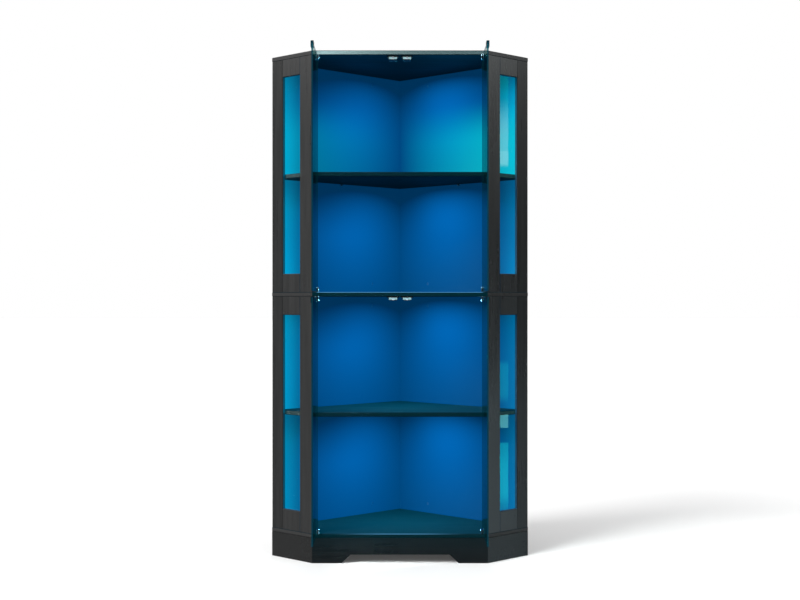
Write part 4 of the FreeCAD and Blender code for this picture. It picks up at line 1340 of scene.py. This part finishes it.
class CABINET_OT_light_strips(CabinetOperator, bpy.types.Operator):
    """Make the light strips behind the front stiles"""

    bl_idname = "cabinet.light_strips"
    bl_label = "Light strips"

    width: length("Width", "Width of a strip's channel", 0.010)
    thick: length("Thickness", "Channel and cover together", 0.0025)
    pitch: length("Pitch", "Distance between two diodes", 0.0166)
    lip: length("Lip", "Width of the channel's rim", 0.0012)

    def strip(self, height):
        """The channel and the cover of an upright strip round the origin, with the cover towards +y."""
        half = Vector((self.width / 2, self.thick / 2, height / 2))
        channel = block("channel", -half, (half.x, half.y - 0.0009, half.z))
        with shaping(channel):
            pick(channel, "FACE", lambda middle, normal: normal.y > ALIGNED)
            bpy.ops.mesh.inset(thickness=self.lip)
            extrude(0, -0.0007, 0)
        soften(channel, 0.0002, 1)
        inset = Vector((self.lip + 0.0001, 0, self.lip + 0.0001))
        low = Vector((-half.x, half.y - 0.0016, -half.z)) + inset
        cover = block("cover", low, half - inset)
        bevel_edges(cover, 0.0008, 5, Z, lambda middle: middle.y > half.y - 0.0002)
        return channel, cover

    def execute(self, context):
        alloy = metal("strip_channel", (0.55, 0.56, 0.57), roughness=0.30, brushed=0.2)
        milky = diffuser("strip_cover", context.scene.cabinet_light.strip, self.pitch)
        solids = loose_parts("light_strips")
        low, high, _ = solids[0]
        channel, cover = self.strip(high.z - low.z)
        add_finishes(channel, alloy)
        add_finishes(cover, milky)
        master = joined("strip", channel, cover)
        places = [(middle, (0, 0, math.copysign(EIGHTH_TURN, middle.x))) for _, _, middle in solids]
        deliver_copies("front_light_strips", master, places, "light_strip", "light_strips")
        return {"FINISHED"}


class CABINET_OT_light_control(CabinetOperator, bpy.types.Operator):
    """Make the control box of the lights, with its low-voltage socket"""

    bl_idname = "cabinet.light_control"
    bl_label = "Light control"

    corner: length("Corner", "Radius of the box's upright corners", 0.004)
    lid: length("Lid", "Height of the box's lid", 0.007)
    seam: length("Seam", "Width and height of the groove under the lid", 0.0006)
    socket: length("Socket", "Radius of the low-voltage socket", 0.0028)
    vents: IntProperty(name="Vents", description="Slots in the underside", default=6, min=0, max=12)
    vent_start: length("Vent start", "First slot to the middle of the cabinet", 0.028)
    vent_pitch: length("Vent spacing", "Distance between two slots", 0.004)
    vent_width: length("Vent width", "Width of a slot", 0.0016)
    vent_depth: length("Vent depth", "Depth of a slot", 0.0012)
    vent_margin: length("Vent margin", "End of a slot to the side of the box", 0.009)

    def execute(self, context):
        black = plastic("control_plastic", context.scene.cabinet_fittings.black, roughness=0.5, grain=0.35)
        low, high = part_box("light_control")
        size, centre = high - low, (low + high) / 2
        below_lid = high.z - self.lid
        box = block("light_control_box", (low.x, low.y, below_lid), high)
        bevel_edges(box, self.corner, 6, Z)
        with shaping(box):
            pick(box, "FACE", lambda middle, normal: normal.z < -ALIGNED)
            bpy.ops.mesh.inset(thickness=self.seam)
            extrude(0, 0, -self.seam)
            extrude(0, 0, 0)
            bpy.ops.transform.resize(
                value=(size.x / (size.x - 2 * self.seam), size.y / (size.y - 2 * self.seam), 1),
                center_override=(centre.x, centre.y, below_lid - self.seam),
            )
            extrude(0, 0, low.z - below_lid + self.seam)
        soften(box, 0.0004)
        jack = {"location": ((low.x + 3 * high.x) / 4, high.y, centre.z), "rotation": (-QUARTER_TURN, 0, 0)}
        drill(box, self.socket, -0.009, 0.002, **jack)
        rim = self.socket + 0.0010
        ring = turned("ring", [(rim, -0.0006), (rim, 0), (rim - 0.0002, 0)])
        drill(ring, self.socket, -0.002, 0.002)
        moved(ring, **jack)
        pin = moved(turned("pin", [(0.0006, -0.0085), (0.0006, -0.0018), (0.0003, -0.0014)], 16), **jack)
        for step in range(self.vents):
            x = step * self.vent_pitch - self.vent_start
            vent_low = (x, low.y + self.vent_margin, low.z - 0.001)
            vent_high = (x + self.vent_width, high.y - self.vent_margin, low.z + self.vent_depth)
            cut(box, block("vent", vent_low, vent_high))
        box = joined("light_control_box", box, ring, pin)
        deliver(box, "control_case", "root", ["light_control"], black)
        return {"FINISHED"}


class CABINET_OT_lamps(CabinetOperator, bpy.types.Operator):
    """Hang a small lamp under the ceiling of each bay, and a tall one behind the clamps, to light the
    fittings
    """

    bl_idname = "cabinet.lamps"
    bl_label = "Lamps"

    size: length("Size", "Width of a lamp", 0.12)
    drop: length("Drop", "Ceiling of a bay to its lamp", 0.012)
    glint_width: length("Glint width", "Width of the tall lamp behind the clamps' highlights", 0.08)
    glint_height: length("Glint height", "Height of that lamp", 1.9)
    glint_middle: length("Glint middle", "Floor to the middle of that lamp", 0.95)

    def execute(self, context):
        scene = context.scene
        light = scene.cabinet_light
        made = [piece for piece in meshes(scene) if piece.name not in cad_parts]
        others = ("leaf", "side_pane", "floor", "softbox")
        fittings = gathered("lamp_fittings", [piece for piece in made if not piece.name.endswith(others)])
        for bay in range(BAYS):
            height = TOP_BOARD_MIDDLE - HALF_BOARD - bay * BAY_PITCH - self.drop
            hang(
                scene, f"bay_lamp_{bay + 1}", "AREA", (0, LAMP_Y, height), (0, 0, 0), fittings,
                shape="DISK", size=self.size, color=light.lamp, energy=light.lamp_power,
            )
        clamps = gathered("clamps", [piece for piece in made if piece.name.endswith("hinge_clamps")])
        hang(
            scene, "glint_lamp", "AREA", (0, LAMP_Y, self.glint_middle), (-QUARTER_TURN, 0, 0), clamps,
            shape="RECTANGLE", size=self.glint_width, size_y=self.glint_height,
            color=light.glint, energy=light.glint_power, use_shadow=False,
        )
        return {"FINISHED"}


class CABINET_OT_stage(CabinetOperator, bpy.types.Operator):
    """Set the studio: a pale floor, soft light and the camera"""

    bl_idname = "cabinet.stage"
    bl_label = "Studio"

    key_way: FloatVectorProperty(
        name="Key direction", description="The way the key light shines on the cabinet",
        default=(0.52, 0.51, -0.52), subtype="DIRECTION",
    )
    floor_way: FloatVectorProperty(
        name="Floor key direction", description="The way it shines on the floor",
        default=(0.56, 0.465, -0.46), subtype="DIRECTION",
    )
    floor_size: length("Floor size", "Width of the floor", 120.0)
    floor_gap: length("Floor gap", "Foot of the cabinet to the floor", 0.0005)

    def floor(self, stage):
        """A pale matt floor that reflections don't show."""
        bpy.ops.object.select_all(action="DESELECT")
        bpy.ops.mesh.primitive_plane_add(size=self.floor_size, location=(0, 0, -self.floor_gap))
        floor = bpy.context.active_object
        floor.name = "studio_floor"
        material, tree, shader, here = new_material("studio_floor")
        seen = Signal(tree, put(tree, "LightPath").outputs["Glossy Depth"]).under(0.5)
        tint = mixed(tree, noise(tree, here, 1.5), stage.floor, darker(stage.floor, 0.99))
        feed(tree, shader, {
            "Base Color": scaled(tree, tint, seen),
            "Roughness": 0.8,
            "Specular IOR Level": 0.1,
            "Emission Color": scaled(tree, (1, 1, 1), seen * stage.lift),
            "Emission Strength": 1.0,
        })
        floor.data.materials.append(material)
        floor.visible_glossy = False

    def surroundings(self, scene, stage):
        """White to the eye and through glass, even on matt surfaces, and dim in reflections."""
        world = scene.world = bpy.data.worlds.new("studio_surroundings")
        tree = emptied(world)
        world.cycles.sampling_method = "NONE"
        _, y, z = parts(tree, put(tree, "TexCoord").outputs["Generated"])
        rear, above = y.least(0), z.least(0)
        gloss = rear * rear * 0.4 + above * above * 0.4 + y.over(0.9) * 0.6 + 0.02
        ray = put(tree, "LightPath").outputs
        matt = Signal(tree, ray["Is Diffuse Ray"])
        mirror = Signal(tree, ray["Glossy Depth"]).over(0.5) * (matt.flipped() + 1)
        strength = mirror * gloss + matt * stage.fill + (mirror + matt).flipped() + 1
        background = put(tree, "Background", {"Color": (1, 1, 1, 1), "Strength": strength})
        put(tree, "OutputWorld", {"Surface": background.outputs[0]})

    def key(self, scene, stage):
        """A soft sun on the cabinet, and a weaker one on the floor that keeps the shadow's rim soft."""
        floor = bpy.data.objects["studio_floor"]
        ground = gathered("ground", [floor])
        everything = gathered("everything", [piece for piece in meshes(scene) if piece != floor])
        for name, strength, way, receivers in (
            ("key", stage.key, self.key_way, everything),
            ("floor_key", stage.floor_key, self.floor_way, ground),
        ):
            turn = Vector(way).to_track_quat("-Z", "Y").to_euler()
            hang(scene, name, "SUN", (0, 0, 0), turn, receivers, energy=strength, angle=stage.key_angle)

    def panel(self, name, location, rotation, size, receivers, pattern):
        """A softbox that only shows in the gloss of its receivers.

        Its pattern gives a tint and a strength for each place in the cabinet's own coordinates.
        """
        bpy.ops.object.select_all(action="DESELECT")
        bpy.ops.mesh.primitive_plane_add(size=1, location=location, rotation=rotation)
        panel = bpy.context.active_object
        panel.name = name
        panel.scale = (*size, 1)
        settle(panel)
        material = bpy.data.materials.new(name)
        tree = emptied(material)
        tint, strength = pattern(tree, *parts(tree, put(tree, "TexCoord").outputs["Object"]))
        light = put(tree, "Emission", {"Color": tint, "Strength": strength})
        put(tree, "OutputMaterial", {"Surface": light.outputs[0]})
        panel.data.materials.append(material)
        for kind in ("camera", "diffuse", "transmission", "volume_scatter", "shadow"):
            setattr(panel, f"visible_{kind}", False)
        panel.light_linking.receiver_collection = receivers

    def softboxes(self, scene):
        """Softboxes at both sides, in front of the top board and the latches, and by the right windows."""
        reflecting = ("glass", "pane", "leaf", "back_panel")
        solid = [piece for piece in meshes(scene) if not piece.name.endswith(reflecting)]
        latches = [piece for piece in meshes(scene) if piece.name.endswith(("push_latches", "_plunger"))]
        windows = [bpy.data.objects[f"{storey}_right_side_pane"] for storey in STOREYS]
        top = [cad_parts["top_board"]]

        def left(tree, x, y, z):
            return (1, 1, 1, 1), z.step(1.95, 2.22, 0.45, 0.8) + z.step(2.15, 2.25) * 0.6

        def right(tree, x, y, z):
            low = z.step(1.3, 0.4)
            patches = z.step(1.50, 1.60) * 0.75 + z.step(0.62, 0.35) * 1.2
            tint = mixed(tree, low, (0.94, 1, 1.01), (0.80, 1.04, 1.14))
            even = z.step(1.95, 2.22, 0.17, 0.7) + z.step(2.15, 2.25) * 0.7 + low * 0.06
            return tint, even + patches * y.step(0.20, 0.05)

        def above_front(tree, x, y, z):
            return (0.66, 0.94, 0.94, 1), x.step(-0.1, -0.7, 9.6, 62.0)

        def before_latches(tree, x, y, z):
            return (0.75, 1.0, 1.1, 1), x.size().step(1.9, 1.2) * 1.3

        def beside_windows(tree, x, y, z):
            shelf = z.step(0.585, 0.54) * z.step(0.34, 0.40)
            patch = z.over(0.2165) * z.under(0.287)
            foot = z.under(0.1365) * z.step(0.14, -0.03, 2.7, 3.8) * z.step(-0.23, -0.12, 0.3, 1.0)
            upper = z.step(1.60, 1.63) * (z.under(1.692) * 0.65 + 1)
            lower_tint = mixed(tree, patch, (0.02, 1.0, 0.85, 1), (0.26, 1.0, 0.85, 1))
            upper_tint = mixed(tree, z.step(1.985, 1.80), (0.0, 1.4, 0.7, 1), (1.6, 1.5, 1.1, 1))
            tint = mixed(tree, z.over(1.2), lower_tint, upper_tint)
            return tint, upper + shelf * 1.5 + patch * 4.2 + foot

        from_left, from_right, from_front = (0, QUARTER_TURN, 0), (0, -QUARTER_TURN, 0), (-QUARTER_TURN, 0, 0)
        for name, location, rotation, size, receivers, pattern in (
            ("left_softbox", (-3, 0, 1.2), from_left, (5, 4.5), solid, left),
            ("right_softbox", (3, 0, 1.2), from_right, (5, 4.5), solid, right),
            ("front_softbox", (-0.6, -5.4, 2.8), from_front, (6, 1.2), top, above_front),
            ("fitting_softbox", (0, -5.5, 1.1), from_front, (4, 4.6), latches, before_latches),
            ("window_softbox", (2.98, 0.102, 0.9), from_right, (2.6, 0.052), windows, beside_windows),
        ):
            self.panel(name, location, rotation, size, gathered(name + "_receivers", receivers), pattern)

    def camera(self, scene, stage):
        """A level camera straight in front of the cabinet."""
        camera = bpy.data.objects.new("camera", bpy.data.cameras.new("camera"))
        camera.location = (0, -stage.camera_distance, stage.camera_height)
        camera.rotation_euler = (QUARTER_TURN, 0, 0)
        camera.data.lens = stage.lens
        scene.collection.objects.link(camera)
        scene.camera = camera

    def execute(self, context):
        scene = context.scene
        stage = scene.cabinet_stage
        self.floor(stage)
        self.surroundings(scene, stage)
        self.key(scene, stage)
        self.softboxes(scene)
        self.camera(scene, stage)
        scene.view_settings.view_transform = "Standard"
        return {"FINISHED"}


class CABINET_PT_panel(bpy.types.Panel):
    """Every step of the cabinet, in the order in which it is built"""

    bl_idname = "CABINET_PT_panel"
    bl_label = "Corner cabinet"
    bl_space_type = "VIEW_3D"
    bl_region_type = "UI"
    bl_category = "Cabinet"

    def draw(self, context):
        for operator in OPERATORS:
            self.layout.operator(operator.bl_idname)
        for label in SETTINGS:
            box = self.layout.box()
            box.label(text=label.replace("_", " ").capitalize())
            group = getattr(context.scene, label)
            for name in group.__annotations__:
                box.prop(group, name)


SETTINGS = {
    "cabinet_boards": CABINET_PG_boards,
    "cabinet_light": CABINET_PG_light,
    "cabinet_glass": CABINET_PG_glass,
    "cabinet_fittings": CABINET_PG_fittings,
    "cabinet_stage": CABINET_PG_stage,
}
OPERATORS = (
    CABINET_OT_carcass,
    CABINET_OT_door_glass,
    CABINET_OT_side_glass,
    CABINET_OT_hinge_clamps,
    CABINET_OT_strikers,
    CABINET_OT_hinge_bushes,
    CABINET_OT_touch_latches,
    CABINET_OT_latch_plungers,
    CABINET_OT_pane_clips,
    CABINET_OT_screws,
    CABINET_OT_shelf_pins,
    CABINET_OT_cams,
    CABINET_OT_light_strips,
    CABINET_OT_light_control,
    CABINET_OT_lamps,
    CABINET_OT_stage,
)


def register():
    for group in SETTINGS.values():
        bpy.utils.register_class(group)
    for label, group in SETTINGS.items():
        setattr(bpy.types.Scene, label, PointerProperty(type=group))
    for operator in OPERATORS:
        bpy.utils.register_class(operator)
    bpy.utils.register_class(CABINET_PT_panel)


def unregister():
    bpy.utils.unregister_class(CABINET_PT_panel)
    for operator in reversed(OPERATORS):
        bpy.utils.unregister_class(operator)
    for label in SETTINGS:
        delattr(bpy.types.Scene, label)
    for group in reversed(SETTINGS.values()):
        bpy.utils.unregister_class(group)


def main():
    register()
    for operator in OPERATORS:
        family, step = operator.bl_idname.split(".")
        getattr(getattr(bpy.ops, family), step)()


if __name__ == "__main__":
    main()
